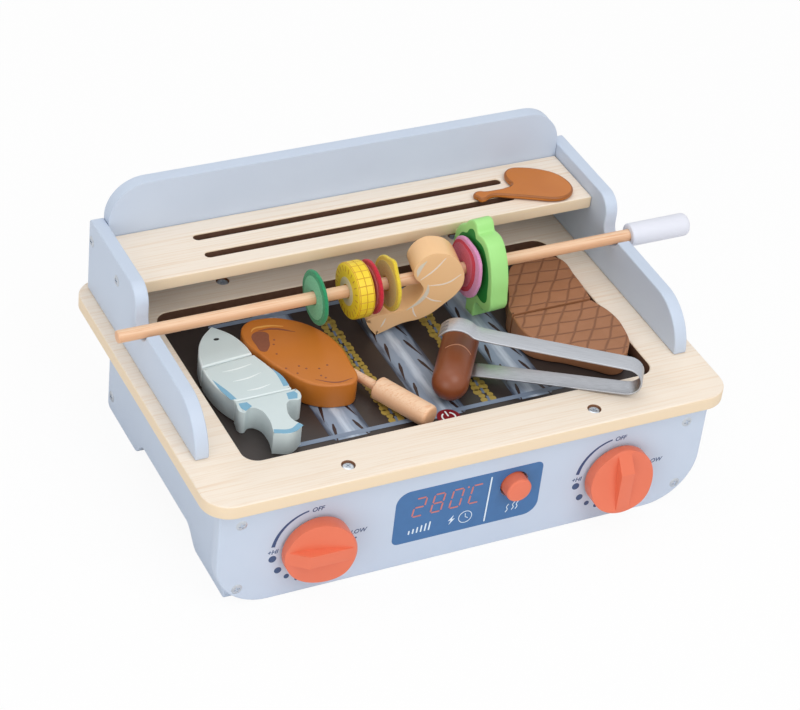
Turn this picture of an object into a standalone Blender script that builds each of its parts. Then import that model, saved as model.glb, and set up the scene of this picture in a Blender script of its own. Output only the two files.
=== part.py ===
"""Toy barbecue grill with sprung push button, turning knobs, skewer, tongs and wooden play food.

Metres, +Z up, +X to the right of the control panel, -Y towards the player. The grill is laid out
about the middle of its top board, and one empty then moves it so that the middle of the whole
set's box stands on the origin.
"""

import math

import bmesh
import bpy
from mathutils import Matrix, Vector

# Shared fits and fineness
GAP = 0.0003
OVERRUN = 0.002
MERGE = 0.00001
ROUND_EDGE = 0.0012
SOFT_EDGE = 0.0016
FELT_EDGE = 0.0008
BROAD_ARC_STEP_DEG = 15.0
ARC_STEP_DEG = 22.5
TIGHT_ARC_STEP_DEG = 30.0
BROAD_RADIUS = 0.0145
TIGHT_RADIUS = 0.008
BEVEL_ANGLE = math.radians(40.0)
TURN_STEPS = 28
BUTTON_STEPS = 20
ROD_STEPS = 16
BORE_STEPS = 12
SCREW_STEPS = 10
CURVE_STEPS = 2

# Top board with the cooking well
BOARD_WIDTH = 0.400
BOARD_FRONT = -0.120
BOARD_BACK = 0.147
BOARD_THICK = 0.011
BOARD_CORNER = 0.020
WELL_WIDTH = 0.3154
WELL_FRONT = -0.0802
WELL_BACK = 0.0938
WELL_CORNER = 0.011

# Base box under the board
BASE_HEIGHT = 0.0893
PANEL_THICK = 0.010
FRONT_PANEL_WIDTH = 0.3768
FRONT_PANEL_FACE = -0.1091
FRONT_PANEL_CORNER = 0.040
FRONT_PANEL_TOP_CORNER = 0.002
SIDE_OUTER = 0.1772
SIDE_BACK = 0.1245
SIDE_BACK_CORNER = 0.005
REAR_PANEL_INSET = 0.0031
ARCH_HEIGHT = 0.0133
ARCH_FRONT_START = -0.0500
ARCH_FRONT_TOP = -0.0297
ARCH_BACK_TOP = 0.0523
ARCH_BACK_START = 0.0689
BURNER_THICK = 0.004

# Brackets, shelf and splash-back
BRACKET_THICK = 0.010
BRACKET_INNER = 0.1803
BRACKET_BACK = 0.139
BRACKET_TOP_HEIGHT = 0.0599
BRACKET_TOP_FRONT = 0.047
BRACKET_TOP_CORNER = 0.014
BRACKET_BACK_CORNER = 0.003
BRACKET_LIP_HEIGHT = 0.036
BRACKET_FRONT = -0.068
BRACKET_FRONT_ROUND = 0.035
NOTCH_RADIUS = 0.0105
NOTCH_BOTTOM_HEIGHT = 0.0278
SHELF_FRONT = 0.0688
SHELF_HEIGHT = 0.0393
SHELF_THICK = 0.0102
SLOT_LENGTH = 0.2463
SLOT_WIDTH = 0.0069
SLOT_ROWS = (0.08655, 0.10865)
SPLASH_FRONT = 0.1278
SPLASH_THICK = 0.010
SPLASH_HEIGHT = 0.090
SPLASH_CORNER = 0.0285

# Knobs
KNOB_X = 0.1172
KNOB_Z = 0.0415
KNOB_RADIUS = 0.0252
KNOB_HEIGHT = 0.0165
KNOB_STANDOFF = 0.002
KNOB_HUB_RADIUS = 0.009
KNOB_ROUND = 0.003
GRIP_WIDTH = 0.010
SCOOP_DEPTH = 0.0085
SCOOP_RUNOUT = 0.004
KNOB_SCREW_RADIUS = 0.002
KNOB_SCREW_HEAD = 0.0045
KNOB_SCREW_HEAD_THICK = 0.002
KNOB_SCREW_BITE = 0.010

# Push button
BUTTON_X = 0.0353
BUTTON_Z = 0.0522
BUTTON_RADIUS = 0.0096
BUTTON_HOLE_RADIUS = 0.0108
BUTTON_PROUD = 0.009
BUTTON_ROUND = 0.0018
BUTTON_FLANGE_RADIUS = 0.0128
BUTTON_FLANGE_THICK = 0.002
BUTTON_BOSS_RADIUS = 0.0045
BUTTON_BOSS_LENGTH = 0.0025
SPRING_RADIUS = 0.0062
SPRING_WIRE = 0.0004
SPRING_LENGTH = 0.0075
SPRING_TURNS = 4
HOUSING_WALL = 0.0018

# Fasteners
SCREW_HEAD_RADIUS = 0.0042
SCREW_HEAD_DEPTH = 0.0026
SCREW_RADIUS = 0.0018
SCREW_TIP = 0.004
SCREW_LENGTH = 0.028
SCREW_SUNK = 0.0002
RECESS_SPAN = 0.0042
RECESS_WIDTH = 0.0011
RECESS_DEPTH = 0.0012
FRONT_SCREW_DROP = 0.0168
FRONT_SCREW_ROWS = (BASE_HEIGHT - FRONT_SCREW_DROP, 0.0159)
TOP_SCREW_X = 0.0946
SIDE_SCREW_Z = 0.0137
BRACKET_BOLT_ROWS = (-0.0197, 0.0915)
BOLT_RADIUS = 0.002
BOLT_HEAD_RADIUS = 0.0045
BOLT_HEAD_THICK = 0.0024
BOLT_PAST_NUT = 0.0025
NUT_HEIGHT = 0.0180
NUT_RADIUS = 0.004
NUT_LENGTH = 0.008
SHELF_SCREW_Y = 0.0829
SPLASH_SCREW_Z = 0.1445

# Skewer
STICK_RADIUS = 0.0046
STICK_Y = 0.0365
STICK_END = -0.2076
STICK_TIP_ROUND = 0.001
HANDLE_START = 0.1955
HANDLE_END = 0.2457
HANDLE_RADIUS = 0.0087
HANDLE_ROUND = 0.004
HANDLE_SOCKET = 0.025
THREAD_FIT = 0.0005

# Skewer foods: middle along the stick, thickness, radius
CUCUMBER_X = -0.0588
CUCUMBER_THICK = 0.003
CUCUMBER_RADIUS = 0.0202
CORN_X = -0.0279
CORN_THICK = 0.0135
CORN_RADIUS = 0.0206
TOMATO_X = -0.0160
TOMATO_THICK = 0.003
TOMATO_RADIUS = 0.0200
LEMON_X = -0.0022
LEMON_THICK = 0.003
LEMON_RADIUS = 0.0205
LEMON_NIB = 0.0035
LEMON_NIB_ANGLE = math.radians(105.0)
LEMON_NIB_SPREAD = math.radians(14.0)
SHRIMP_X = 0.035
SHRIMP_THICK = 0.022
SHRIMP_LENGTH = 0.070
SHRIMP_HEIGHT = 0.070
SHRIMP_TURN = math.radians(-12.0)
HAM_X = 0.0604
HAM_THICK = 0.003
HAM_WIDTH = 0.0445
HAM_HEIGHT = 0.0465
BROCCOLI_X = 0.0720
BROCCOLI_THICK = 0.0145
BROCCOLI_WIDTH = 0.0545
BROCCOLI_HEIGHT = 0.0755
BROCCOLI_TURN = math.radians(4.0)

# Food in the well: place of each outline's middle on the board, turn and size, spread over its width
WELL_FOOD_THICK = 0.018
FISH_X = -0.4074 * WELL_WIDTH
FISH_Y = -0.0045
FISH_LENGTH = 0.128
FISH_WIDTH = 0.1458 * WELL_WIDTH
CHICKEN_X = -0.2568 * WELL_WIDTH
CHICKEN_Y = 0.0105
CHICKEN_LENGTH = 0.088
CHICKEN_WIDTH = 0.1966 * WELL_WIDTH
CHICKEN_THICK = 0.020
CHICKEN_BORE_X = -0.1776 * WELL_WIDTH
CHICKEN_BORE_Y = 0.0045
BONE_RADIUS = 0.0035
BONE_LENGTH = 0.040
BONE_HANDLE_RADIUS = 0.0085
BONE_HANDLE_LENGTH = 0.047
BONE_HANDLE_ROUND = 0.0025
BONE_TURN = math.radians(-64.0)
STEAK_X = 0.3821 * WELL_WIDTH
STEAK_Y = -0.0015
STEAK_WIDTH = 0.2330 * WELL_WIDTH
STEAK_LENGTH = 0.125
DRUMSTICK_X = 0.1338
DRUMSTICK_Y = 0.0916
DRUMSTICK_LENGTH = 0.088
DRUMSTICK_WIDTH = 0.031
DRUMSTICK_THICK = 0.004

# Tongs lying on the rim with the sausage in their jaws
TONGS_X = 0.3805 * WELL_WIDTH
TONGS_Y = -0.09996
TONGS_TURN = math.radians(145.1)
TONGS_STRAP = 0.0013
TONGS_STRAP_WIDTH = 0.0153
TONGS_BEND_RADIUS = 0.0109
TONGS_ARM_LENGTH = 0.1088
TONGS_JAW_SPREAD = 0.01559
JAW_RADIUS = 0.0150
JAW_TIP_DEG = 62.0
JAW_ROOT_DEG = 52.0
SAUSAGE_RADIUS = 0.0132
SAUSAGE_LENGTH = 0.075
SAUSAGE_OVERHANG = 0.0350

# Outlines, as shares of the width and height or length of the piece that they draw
FISH_HEAD_SHARES = ((-0.500, 0.172), (-0.420, 0.290), (-0.230, 0.415), (0.030, 0.500),
                    (0.230, 0.410), (0.340, 0.300), (0.365, 0.200))
FISH_BODY_SHARES = ((-0.500, 0.160), (-0.505, 0.100), (-0.440, -0.060), (-0.330, -0.158),
                    (0.590, -0.152), (0.560, -0.060), (0.470, 0.080), (0.370, 0.190))
FISH_TAIL_SHARES = ((-0.345, -0.168), (-0.330, -0.262), (-0.190, -0.236), (-0.075, -0.262),
                    (-0.025, -0.350), (-0.060, -0.430), (-0.090, -0.470), (0.160, -0.500),
                    (0.390, -0.452), (0.300, -0.390), (0.320, -0.310), (0.430, -0.246),
                    (0.600, -0.250), (0.665, -0.205), (0.645, -0.162))
FISH_CORNERS = {"head": (0, 3, 6), "body": (0, 3, 4, 7), "tail": (0, 6, 8, 14)}
CHICKEN_SHARES = ((-0.500, 0.330), (-0.380, 0.480), (-0.100, 0.500), (0.150, 0.420),
                  (0.370, 0.250), (0.490, 0.010), (0.480, -0.250), (0.400, -0.480),
                  (0.180, -0.500), (-0.080, -0.420), (-0.300, -0.190), (-0.440, 0.080))
STEAK_BACK_SHARES = ((-0.480, 0.052), (-0.455, 0.120), (-0.380, 0.200), (-0.230, 0.380),
                     (-0.080, 0.490), (0.150, 0.505), (0.400, 0.490), (0.440, 0.270),
                     (0.405, 0.052))
STEAK_FRONT_SHARES = ((-0.485, 0.040), (-0.500, -0.080), (-0.460, -0.180), (-0.340, -0.250),
                      (-0.200, -0.300), (0.020, -0.410), (0.220, -0.495), (0.400, -0.420),
                      (0.490, -0.270), (0.495, -0.110), (0.405, 0.040))
STEAK_CORNERS = {"back": (0, 8), "front": (0, 10)}
DRUMSTICK_SHARES = ((-0.473, 0.020), (-0.445, 0.121), (-0.397, 0.140), (-0.355, 0.094),
                    (-0.250, 0.071), (-0.169, 0.079), (-0.085, 0.180), (-0.091, 0.341),
                    (-0.080, 0.594), (-0.037, 0.747), (0.026, 0.813), (0.100, 0.772),
                    (0.183, 0.675), (0.282, 0.493), (0.355, 0.285), (0.400, -0.018),
                    (0.405, -0.308), (0.375, -0.518), (0.310, -0.672), (0.235, -0.722),
                    (0.151, -0.686), (0.038, -0.539), (-0.081, -0.373), (-0.203, -0.219),
                    (-0.285, -0.123), (-0.341, -0.129), (-0.400, -0.208), (-0.442, -0.194),
                    (-0.455, -0.101))
SHRIMP_SHARES = ((-0.186, 0.003), (-0.262, 0.100), (-0.262, 0.205), (-0.130, 0.352),
                 (0.000, 0.362), (0.115, 0.320), (0.230, 0.180), (0.272, 0.040),
                 (0.240, -0.105), (0.090, -0.275), (-0.110, -0.430), (-0.340, -0.492),
                 (-0.500, -0.570), (-0.600, -0.622), (-0.690, -0.505), (-0.722, -0.430),
                 (-0.640, -0.385), (-0.430, -0.350), (-0.270, -0.280), (-0.175, -0.170),
                 (-0.148, -0.070))
SHRIMP_CORNERS = (0, 13, 15)
HAM_SHARES = ((-0.500, 0.120), (-0.400, 0.400), (-0.060, 0.500), (0.290, 0.420),
              (0.460, 0.180), (0.480, -0.140), (0.330, -0.420), (0.030, -0.500),
              (-0.300, -0.380), (-0.460, -0.130))
BROCCOLI_SHARES = ((-0.170, -0.510), (0.030, -0.510), (0.060, -0.350), (0.170, -0.300),
                   (0.420, -0.290), (0.490, -0.080), (0.480, 0.190), (0.405, 0.300),
                   (0.270, 0.385), (0.190, 0.455), (0.060, 0.490), (-0.040, 0.400),
                   (-0.220, 0.395), (-0.370, 0.290), (-0.480, 0.110), (-0.530, -0.100),
                   (-0.525, -0.270), (-0.350, -0.335), (-0.210, -0.330))
BROCCOLI_CORNERS = (0, 1, 8, 11)

# Worked-out places
BOARD_TOP = BASE_HEIGHT + BOARD_THICK
WELL_FLOOR = BASE_HEIGHT
PANEL_TOP = BASE_HEIGHT - GAP
FRONT_PANEL_BACK = FRONT_PANEL_FACE + PANEL_THICK
SIDE_INNER = SIDE_OUTER - PANEL_THICK
SIDE_MIDDLE = SIDE_OUTER - PANEL_THICK / 2
SIDE_FRONT = FRONT_PANEL_BACK + GAP
REAR_PANEL_MIDDLE = SIDE_BACK - REAR_PANEL_INSET - PANEL_THICK / 2
REAR_PANEL_FRONT = REAR_PANEL_MIDDLE - PANEL_THICK / 2
BRACKET_OUTER = BRACKET_INNER + BRACKET_THICK
BRACKET_MIDDLE = BRACKET_INNER + BRACKET_THICK / 2
SHELF_BOTTOM = BOARD_TOP + SHELF_HEIGHT
SHELF_TOP = SHELF_BOTTOM + SHELF_THICK
STICK_Z = BOARD_TOP + NOTCH_BOTTOM_HEIGHT + GAP + STICK_RADIUS
KNOB_BACK = FRONT_PANEL_FACE - KNOB_STANDOFF
KNOB_FRONT = KNOB_BACK - KNOB_HEIGHT
BUTTON_FACE = FRONT_PANEL_FACE - BUTTON_PROUD
FLANGE_FRONT = FRONT_PANEL_BACK + GAP
FLANGE_BACK = FLANGE_FRONT + BUTTON_FLANGE_THICK
SPRING_FRONT = FLANGE_BACK + GAP
SPRING_BACK = SPRING_FRONT + SPRING_LENGTH
NUT_Z = BOARD_TOP + NUT_HEIGHT
JAW_ROOT = math.radians(JAW_ROOT_DEG)
JAW_MIDDLE = TONGS_ARM_LENGTH + JAW_RADIUS * math.sin(JAW_ROOT)
JAW_OFFSET = TONGS_JAW_SPREAD - JAW_RADIUS * math.cos(JAW_ROOT)
JAW_DEPTH = JAW_OFFSET + JAW_RADIUS + TONGS_STRAP / 2
RIM_REACH = (WELL_FRONT - TONGS_Y) / math.sin(TONGS_TURN)
RIM_DEPTH = (TONGS_BEND_RADIUS + TONGS_STRAP / 2
             + (TONGS_JAW_SPREAD - TONGS_BEND_RADIUS) * RIM_REACH / TONGS_ARM_LENGTH)
TONGS_DIP = math.atan((BOARD_TOP + RIM_DEPTH - WELL_FLOOR - JAW_DEPTH) / (JAW_MIDDLE - RIM_REACH))
TONGS_Z = BOARD_TOP + GAP + RIM_DEPTH + RIM_REACH * math.tan(TONGS_DIP)
FRAME_X = (STICK_END + HANDLE_END) / 2
FRAME_Y = (KNOB_FRONT + BOARD_BACK) / 2


def clear_scene():
    """Remove the objects that a new file holds."""
    for thing in list(bpy.data.objects):
        bpy.data.objects.remove(thing, do_unlink=True)


def new_collection(name):
    """Make a collection under the scene."""
    group = bpy.data.collections.new(name)
    bpy.context.scene.collection.children.link(group)
    return group


clear_scene()
PARTS = new_collection("toy_barbecue_grill")
CUTTERS = new_collection("cutters")
FRAME = bpy.data.objects.new("grill_frame", None)
FRAME.location = (-FRAME_X, -FRAME_Y, 0)
PARTS.objects.link(FRAME)


def finish(name, colour, roughness=0.6, metallic=0.0):
    """A plain principled material."""
    material = bpy.data.materials.new(name)
    material.use_nodes = True
    shader = material.node_tree.nodes["Principled BSDF"]
    shader.inputs["Base Color"].default_value = (*colour, 1.0)
    shader.inputs["Roughness"].default_value = roughness
    shader.inputs["Metallic"].default_value = metallic
    return material


PAINT = finish("blue_grey_paint", (0.57, 0.66, 0.78))
PLY = finish("pale_beech_ply", (0.86, 0.76, 0.62))
PRINT = finish("printed_burner_board", (0.10, 0.13, 0.18))
CORAL = finish("coral_paint", (0.80, 0.22, 0.11), 0.5)
STEEL = finish("zinc_steel", (0.60, 0.60, 0.62), 0.35, 1.0)
STRAP = finish("brushed_strap_steel", (0.40, 0.42, 0.45), 0.4, 1.0)
NYLON = finish("moulded_nylon", (0.75, 0.75, 0.75), 0.5)
BEECH = finish("turned_beech", (0.77, 0.46, 0.27))
WHITE = finish("white_paint", (0.75, 0.77, 0.85), 0.5)
FISH_PAINT = finish("fish_paint", (0.64, 0.74, 0.76), 0.5)
ROAST = finish("roast_paint", (0.55, 0.17, 0.03), 0.45)
STEAK_PAINT = finish("steak_paint", (0.33, 0.14, 0.065), 0.55)
SAUSAGE_PAINT = finish("sausage_paint", (0.20, 0.06, 0.02), 0.45)
BROCCOLI_PAINT = finish("broccoli_paint", (0.33, 0.75, 0.21), 0.5)
SHRIMP_PAINT = finish("shrimp_paint", (0.87, 0.50, 0.23), 0.5)
CORN_PAINT = finish("corn_paint", (0.87, 0.64, 0.03), 0.5)
GREEN_FELT = finish("green_felt", (0.01, 0.25, 0.09), 0.9)
RED_FELT = finish("red_felt", (0.53, 0.01, 0.02), 0.9)
YELLOW_FELT = finish("yellow_felt", (0.80, 0.60, 0.05), 0.9)
PINK_FELT = finish("pink_felt", (0.69, 0.26, 0.48), 0.9)


def register(name, mesh, location, rotation=(0, 0, 0), material=None, group=PARTS):
    """Make an object of a mesh, under the grill's frame."""
    thing = bpy.data.objects.new(name, mesh)
    group.objects.link(thing)
    thing.parent = FRAME
    thing.location = location
    thing.rotation_euler = rotation
    if material is not None:
        mesh.materials.clear()
        mesh.materials.append(material)
    mesh.shade_smooth()
    mesh.set_sharp_from_angle(angle=BEVEL_ANGLE)
    if group is CUTTERS:
        thing.hide_render = True
        thing.display_type = "WIRE"
    return thing


def evaluated_mesh(thing, name):
    """The mesh of an object as its curve or modifiers leave it, with its caps welded."""
    bpy.context.view_layer.update()
    graph = bpy.context.evaluated_depsgraph_get()
    mesh = bpy.data.meshes.new_from_object(thing.evaluated_get(graph))
    mesh.name = name
    work = bmesh.new()
    work.from_mesh(mesh)
    bmesh.ops.remove_doubles(work, verts=work.verts, dist=MERGE)
    bmesh.ops.dissolve_degenerate(work, edges=work.edges, dist=MERGE)
    bmesh.ops.recalc_face_normals(work, faces=work.faces)
    work.to_mesh(mesh)
    work.free()
    bpy.data.objects.remove(thing, do_unlink=True)
    return mesh


def plate_mesh(name, loops, thickness):
    """A flat plate of straight-sided outlines, drawn in XY and thick along Z; later loops are holes."""
    curve = bpy.data.curves.new(name, "CURVE")
    curve.dimensions = "2D"
    curve.fill_mode = "BOTH"
    curve.extrude = thickness / 2
    for loop in loops:
        spline = curve.splines.new("POLY")
        spline.points.add(len(loop) - 1)
        for point, (across, along) in zip(spline.points, loop):
            point.co = (across, along, 0, 1)
        spline.use_cyclic_u = True
    thing = bpy.data.objects.new(name, curve)
    CUTTERS.objects.link(thing)
    return flattened(evaluated_mesh(thing, name))


def soft_plate_mesh(name, points, corners, thickness):
    """A flat plate of a smooth outline, drawn in XY and thick along Z, sharp at the listed corners."""
    curve = bpy.data.curves.new(name, "CURVE")
    curve.dimensions = "2D"
    curve.fill_mode = "BOTH"
    curve.extrude = thickness / 2
    curve.resolution_u = CURVE_STEPS
    spline = curve.splines.new("BEZIER")
    spline.bezier_points.add(len(points) - 1)
    for index, (point, (across, along)) in enumerate(zip(spline.bezier_points, points)):
        point.co = (across, along, 0)
        kind = "VECTOR" if index in corners else "AUTO"
        point.handle_left_type = kind
        point.handle_right_type = kind
    spline.use_cyclic_u = True
    thing = bpy.data.objects.new(name, curve)
    CUTTERS.objects.link(thing)
    return flattened(evaluated_mesh(thing, name))


def flattened(mesh):
    """Join the flat faces of a plate's two sides."""
    work = bmesh.new()
    work.from_mesh(mesh)
    bmesh.ops.dissolve_limit(work, angle_limit=math.radians(0.1), verts=work.verts, edges=work.edges)
    work.to_mesh(mesh)
    work.free()
    return mesh


def turned_mesh(name, profile, steps=TURN_STEPS):
    """A turned solid about Z of a profile of radius and height, listed from its top down."""
    mesh = bpy.data.meshes.new(name)
    rows = [(radius, 0, height) for radius, height in profile]
    mesh.from_pydata(rows, [(step, step + 1) for step in range(len(rows) - 1)], [])
    thing = bpy.data.objects.new(name, mesh)
    CUTTERS.objects.link(thing)
    screw = thing.modifiers.new("turn", "SCREW")
    screw.axis = "Z"
    screw.steps = steps
    screw.render_steps = steps
    screw.use_merge_vertices = True
    screw.merge_threshold = MERGE
    screw.use_normal_calculate = True
    return evaluated_mesh(thing, name)


def box_mesh(name, width, depth, height):
    """A box about its own middle."""
    work = bmesh.new()
    bmesh.ops.create_cube(work, size=1)
    bmesh.ops.scale(work, vec=(width, depth, height), verts=work.verts)
    mesh = bpy.data.meshes.new(name)
    work.to_mesh(mesh)
    work.free()
    return mesh


def rod_mesh(name, radius, length, steps=BORE_STEPS):
    """A plain rod about Z, from its middle."""
    work = bmesh.new()
    bmesh.ops.create_cone(work, cap_ends=True, segments=steps, radius1=radius, radius2=radius,
                          depth=length)
    mesh = bpy.data.meshes.new(name)
    work.to_mesh(mesh)
    work.free()
    return mesh


def round_over(thing, width, segments=1):
    """Round the sharp edges of an object."""
    bevel = thing.modifiers.new("round_over", "BEVEL")
    bevel.width = width
    bevel.segments = segments
    bevel.limit_method = "ANGLE"
    bevel.angle_limit = BEVEL_ANGLE
    bevel.use_clamp_overlap = True


def cut(thing, cutter):
    """Take the cutter's shape out of an object."""
    boolean = thing.modifiers.new("cut_" + cutter.name, "BOOLEAN")
    boolean.operation = "DIFFERENCE"
    boolean.solver = "EXACT"
    boolean.object = cutter


def arc(middle, radius, start_deg, end_deg):
    """Points of an arc in a plane, from one angle to another; tight arcs get coarser steps."""
    step_deg = ARC_STEP_DEG
    if radius >= BROAD_RADIUS:
        step_deg = BROAD_ARC_STEP_DEG
    elif radius <= TIGHT_RADIUS:
        step_deg = TIGHT_ARC_STEP_DEG
    count = max(2, round(abs(end_deg - start_deg) / step_deg))
    points = []
    for step in range(count + 1):
        angle = math.radians(start_deg + (end_deg - start_deg) * step / count)
        points.append((middle[0] + radius * math.cos(angle), middle[1] + radius * math.sin(angle)))
    return points


def round_box(left, right, bottom, top, bottom_corner, top_corner):
    """A rectangle with round corners, anticlockwise from its lower right corner."""
    return (arc((right - bottom_corner, bottom + bottom_corner), bottom_corner, -90, 0)
            + arc((right - top_corner, top - top_corner), top_corner, 0, 90)
            + arc((left + top_corner, top - top_corner), top_corner, 90, 180)
            + arc((left + bottom_corner, bottom + bottom_corner), bottom_corner, 180, 270))


def scaled(shares, width, height):
    """Outline points from shares of a width and a height."""
    return [(across * width, along * height) for across, along in shares]


def s_curve(start, end, low, high):
    """Points of a smooth step from one height to another between two places."""
    count = 5
    points = []
    for step in range(count + 1):
        share = step / count
        rise = (1 - math.cos(math.pi * share)) / 2
        points.append((start + (end - start) * share, low + (high - low) * rise))
    return points


FACING_FRONT = (math.radians(90), 0, 0)
FACING_SIDE = (math.radians(90), 0, math.radians(90))
AXIS_FRONT = (math.radians(90), 0, 0)
AXIS_BACK = (math.radians(-90), 0, 0)
AXIS_LEFT = (0, math.radians(-90), 0)
AXIS_RIGHT = (0, math.radians(90), 0)
AXIS_UP = (0, 0, 0)
AXIS_DOWN = (math.radians(180), 0, 0)


def wood_screw_profile(grow):
    """Countersunk screw, head at the top, its face at height zero; grow makes its bore."""
    return [(0, grow), (SCREW_HEAD_RADIUS + grow, grow), (SCREW_HEAD_RADIUS + grow, -GAP),
            (SCREW_RADIUS + grow, -SCREW_HEAD_DEPTH - grow),
            (SCREW_RADIUS + grow, -SCREW_LENGTH + SCREW_TIP), (0, -SCREW_LENGTH - grow)]


def wood_screw_mesh():
    """A countersunk wood screw with a cross recess, made once for every wood screw."""
    blank = turned_mesh("wood_screw", wood_screw_profile(0), SCREW_STEPS)
    thing = register("wood_screw_blank", blank, (0, 0, 0), group=CUTTERS)
    for index, sizes in enumerate(((RECESS_SPAN, RECESS_WIDTH), (RECESS_WIDTH, RECESS_SPAN))):
        bar_mesh = box_mesh("recess", *sizes, RECESS_DEPTH * 2)
        cut(thing, register(f"recess_{index}", bar_mesh, (0, 0, 0), group=CUTTERS))
    mesh = evaluated_mesh(thing, "wood_screw")
    mesh.materials.clear()
    mesh.materials.append(STEEL)
    return mesh


SCREW_MESH = wood_screw_mesh()
SCREW_BORE_MESH = turned_mesh("wood_screw_bore", wood_screw_profile(GAP), SCREW_STEPS)


def wood_screw(name, place, axis, *pieces):
    """Set a screw with its head's face at a place, and cut its bore in the pieces that it joins."""
    screw = register(name, SCREW_MESH, place, axis)
    bore = register(name + "_bore", SCREW_BORE_MESH, place, axis, group=CUTTERS)
    for piece in pieces:
        cut(piece, bore)
    return screw


def make_top_board():
    """The broad ply board with the well's opening."""
    outer = round_box(-BOARD_WIDTH / 2, BOARD_WIDTH / 2, BOARD_FRONT, BOARD_BACK,
                      BOARD_CORNER, BOARD_CORNER)
    well = round_box(-WELL_WIDTH / 2, WELL_WIDTH / 2, WELL_FRONT, WELL_BACK,
                     WELL_CORNER, WELL_CORNER)
    board = register("top_board", plate_mesh("top_board", (outer, well), BOARD_THICK),
                     (0, 0, BASE_HEIGHT + BOARD_THICK / 2), material=PLY)
    round_over(board, ROUND_EDGE)
    return board


def make_front_panel():
    """The control panel that closes the front of the base."""
    half = FRONT_PANEL_WIDTH / 2
    outline = round_box(-half, half, 0, PANEL_TOP, FRONT_PANEL_CORNER, FRONT_PANEL_TOP_CORNER)
    panel = register("front_panel", plate_mesh("front_panel", (outline,), PANEL_THICK),
                     (0, FRONT_PANEL_FACE + PANEL_THICK / 2, 0), FACING_FRONT, PAINT)
    round_over(panel, ROUND_EDGE)
    return panel


def make_rear_panel():
    """The board between the side panels at the back of the base."""
    width = 2 * (SIDE_INNER - GAP)
    return register("rear_panel", box_mesh("rear_panel", width, PANEL_THICK, PANEL_TOP),
                    (0, REAR_PANEL_MIDDLE, PANEL_TOP / 2), material=PAINT)


def make_side_panel(side):
    """A side of the base, cut away under its middle so that it stands on two feet."""
    outline = arc((SIDE_BACK - SIDE_BACK_CORNER, SIDE_BACK_CORNER), SIDE_BACK_CORNER, -90, 0)
    outline += [(SIDE_BACK, PANEL_TOP), (SIDE_FRONT, PANEL_TOP), (SIDE_FRONT, 0)]
    outline += s_curve(ARCH_FRONT_START, ARCH_FRONT_TOP, 0, ARCH_HEIGHT)
    outline += s_curve(ARCH_BACK_TOP, ARCH_BACK_START, ARCH_HEIGHT, 0)
    name = ("left" if side < 0 else "right") + "_side_panel"
    panel = register(name, plate_mesh(name, (outline,), PANEL_THICK), (side * SIDE_MIDDLE, 0, 0),
                     FACING_SIDE, PAINT)
    round_over(panel, ROUND_EDGE)
    return panel


def make_burner_board():
    """The printed board that floors the well, under the top board."""
    depth = REAR_PANEL_FRONT - SIDE_FRONT - GAP
    middle = (REAR_PANEL_FRONT + SIDE_FRONT - GAP) / 2
    return register("burner_board",
                    box_mesh("burner_board", 2 * (SIDE_INNER - GAP), depth, BURNER_THICK),
                    (0, middle, PANEL_TOP - BURNER_THICK / 2), material=PRINT)


def bracket_outline():
    """Side view of a bracket: high at the back, notched for the skewer, round at the front."""
    bottom = BOARD_TOP + GAP
    top = BOARD_TOP + BRACKET_TOP_HEIGHT
    lip = BOARD_TOP + BRACKET_LIP_HEIGHT
    notch_middle = BOARD_TOP + NOTCH_BOTTOM_HEIGHT + NOTCH_RADIUS
    lip_drop_deg = math.degrees(math.asin((notch_middle - lip) / NOTCH_RADIUS))
    lip_end = (STICK_Y - NOTCH_RADIUS * math.cos(math.radians(lip_drop_deg)), lip)
    front_middle = (BRACKET_FRONT + BRACKET_FRONT_ROUND, bottom)
    points = [(BRACKET_BACK, bottom)]
    points += arc((BRACKET_BACK - BRACKET_BACK_CORNER, top - BRACKET_BACK_CORNER),
                  BRACKET_BACK_CORNER, 0, 90)
    points += arc((STICK_Y + NOTCH_RADIUS + BRACKET_TOP_CORNER, top - BRACKET_TOP_CORNER),
                  BRACKET_TOP_CORNER, 90, 180)
    points += arc((STICK_Y, notch_middle), NOTCH_RADIUS, 0, -180 + lip_drop_deg)[:-1]
    points.append(lip_end)
    points.append((front_middle[0], bottom + BRACKET_LIP_HEIGHT - GAP))
    points += arc(front_middle, BRACKET_FRONT_ROUND, 90, 180)
    return points


def make_bracket(side):
    """An upright bracket beside the well, which carries the shelf and the skewer."""
    name = ("left" if side < 0 else "right") + "_bracket"
    bracket = register(name, plate_mesh(name, (bracket_outline(),), BRACKET_THICK),
                       (side * BRACKET_MIDDLE, 0, 0), FACING_SIDE, PAINT)
    round_over(bracket, ROUND_EDGE)
    return bracket


def make_shelf():
    """The slotted ply shelf between the brackets."""
    half = BRACKET_INNER - GAP
    back = SPLASH_FRONT - GAP
    outer = [(half, SHELF_FRONT), (half, back), (-half, back), (-half, SHELF_FRONT)]
    slot_half = SLOT_LENGTH / 2
    slots = [round_box(-slot_half, slot_half, row - SLOT_WIDTH / 2, row + SLOT_WIDTH / 2,
                       SLOT_WIDTH / 2, SLOT_WIDTH / 2) for row in SLOT_ROWS]
    shelf = register("shelf", plate_mesh("shelf", (outer, *slots), SHELF_THICK),
                     (0, 0, SHELF_BOTTOM + SHELF_THICK / 2), material=PLY)
    round_over(shelf, ROUND_EDGE)
    return shelf


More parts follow.
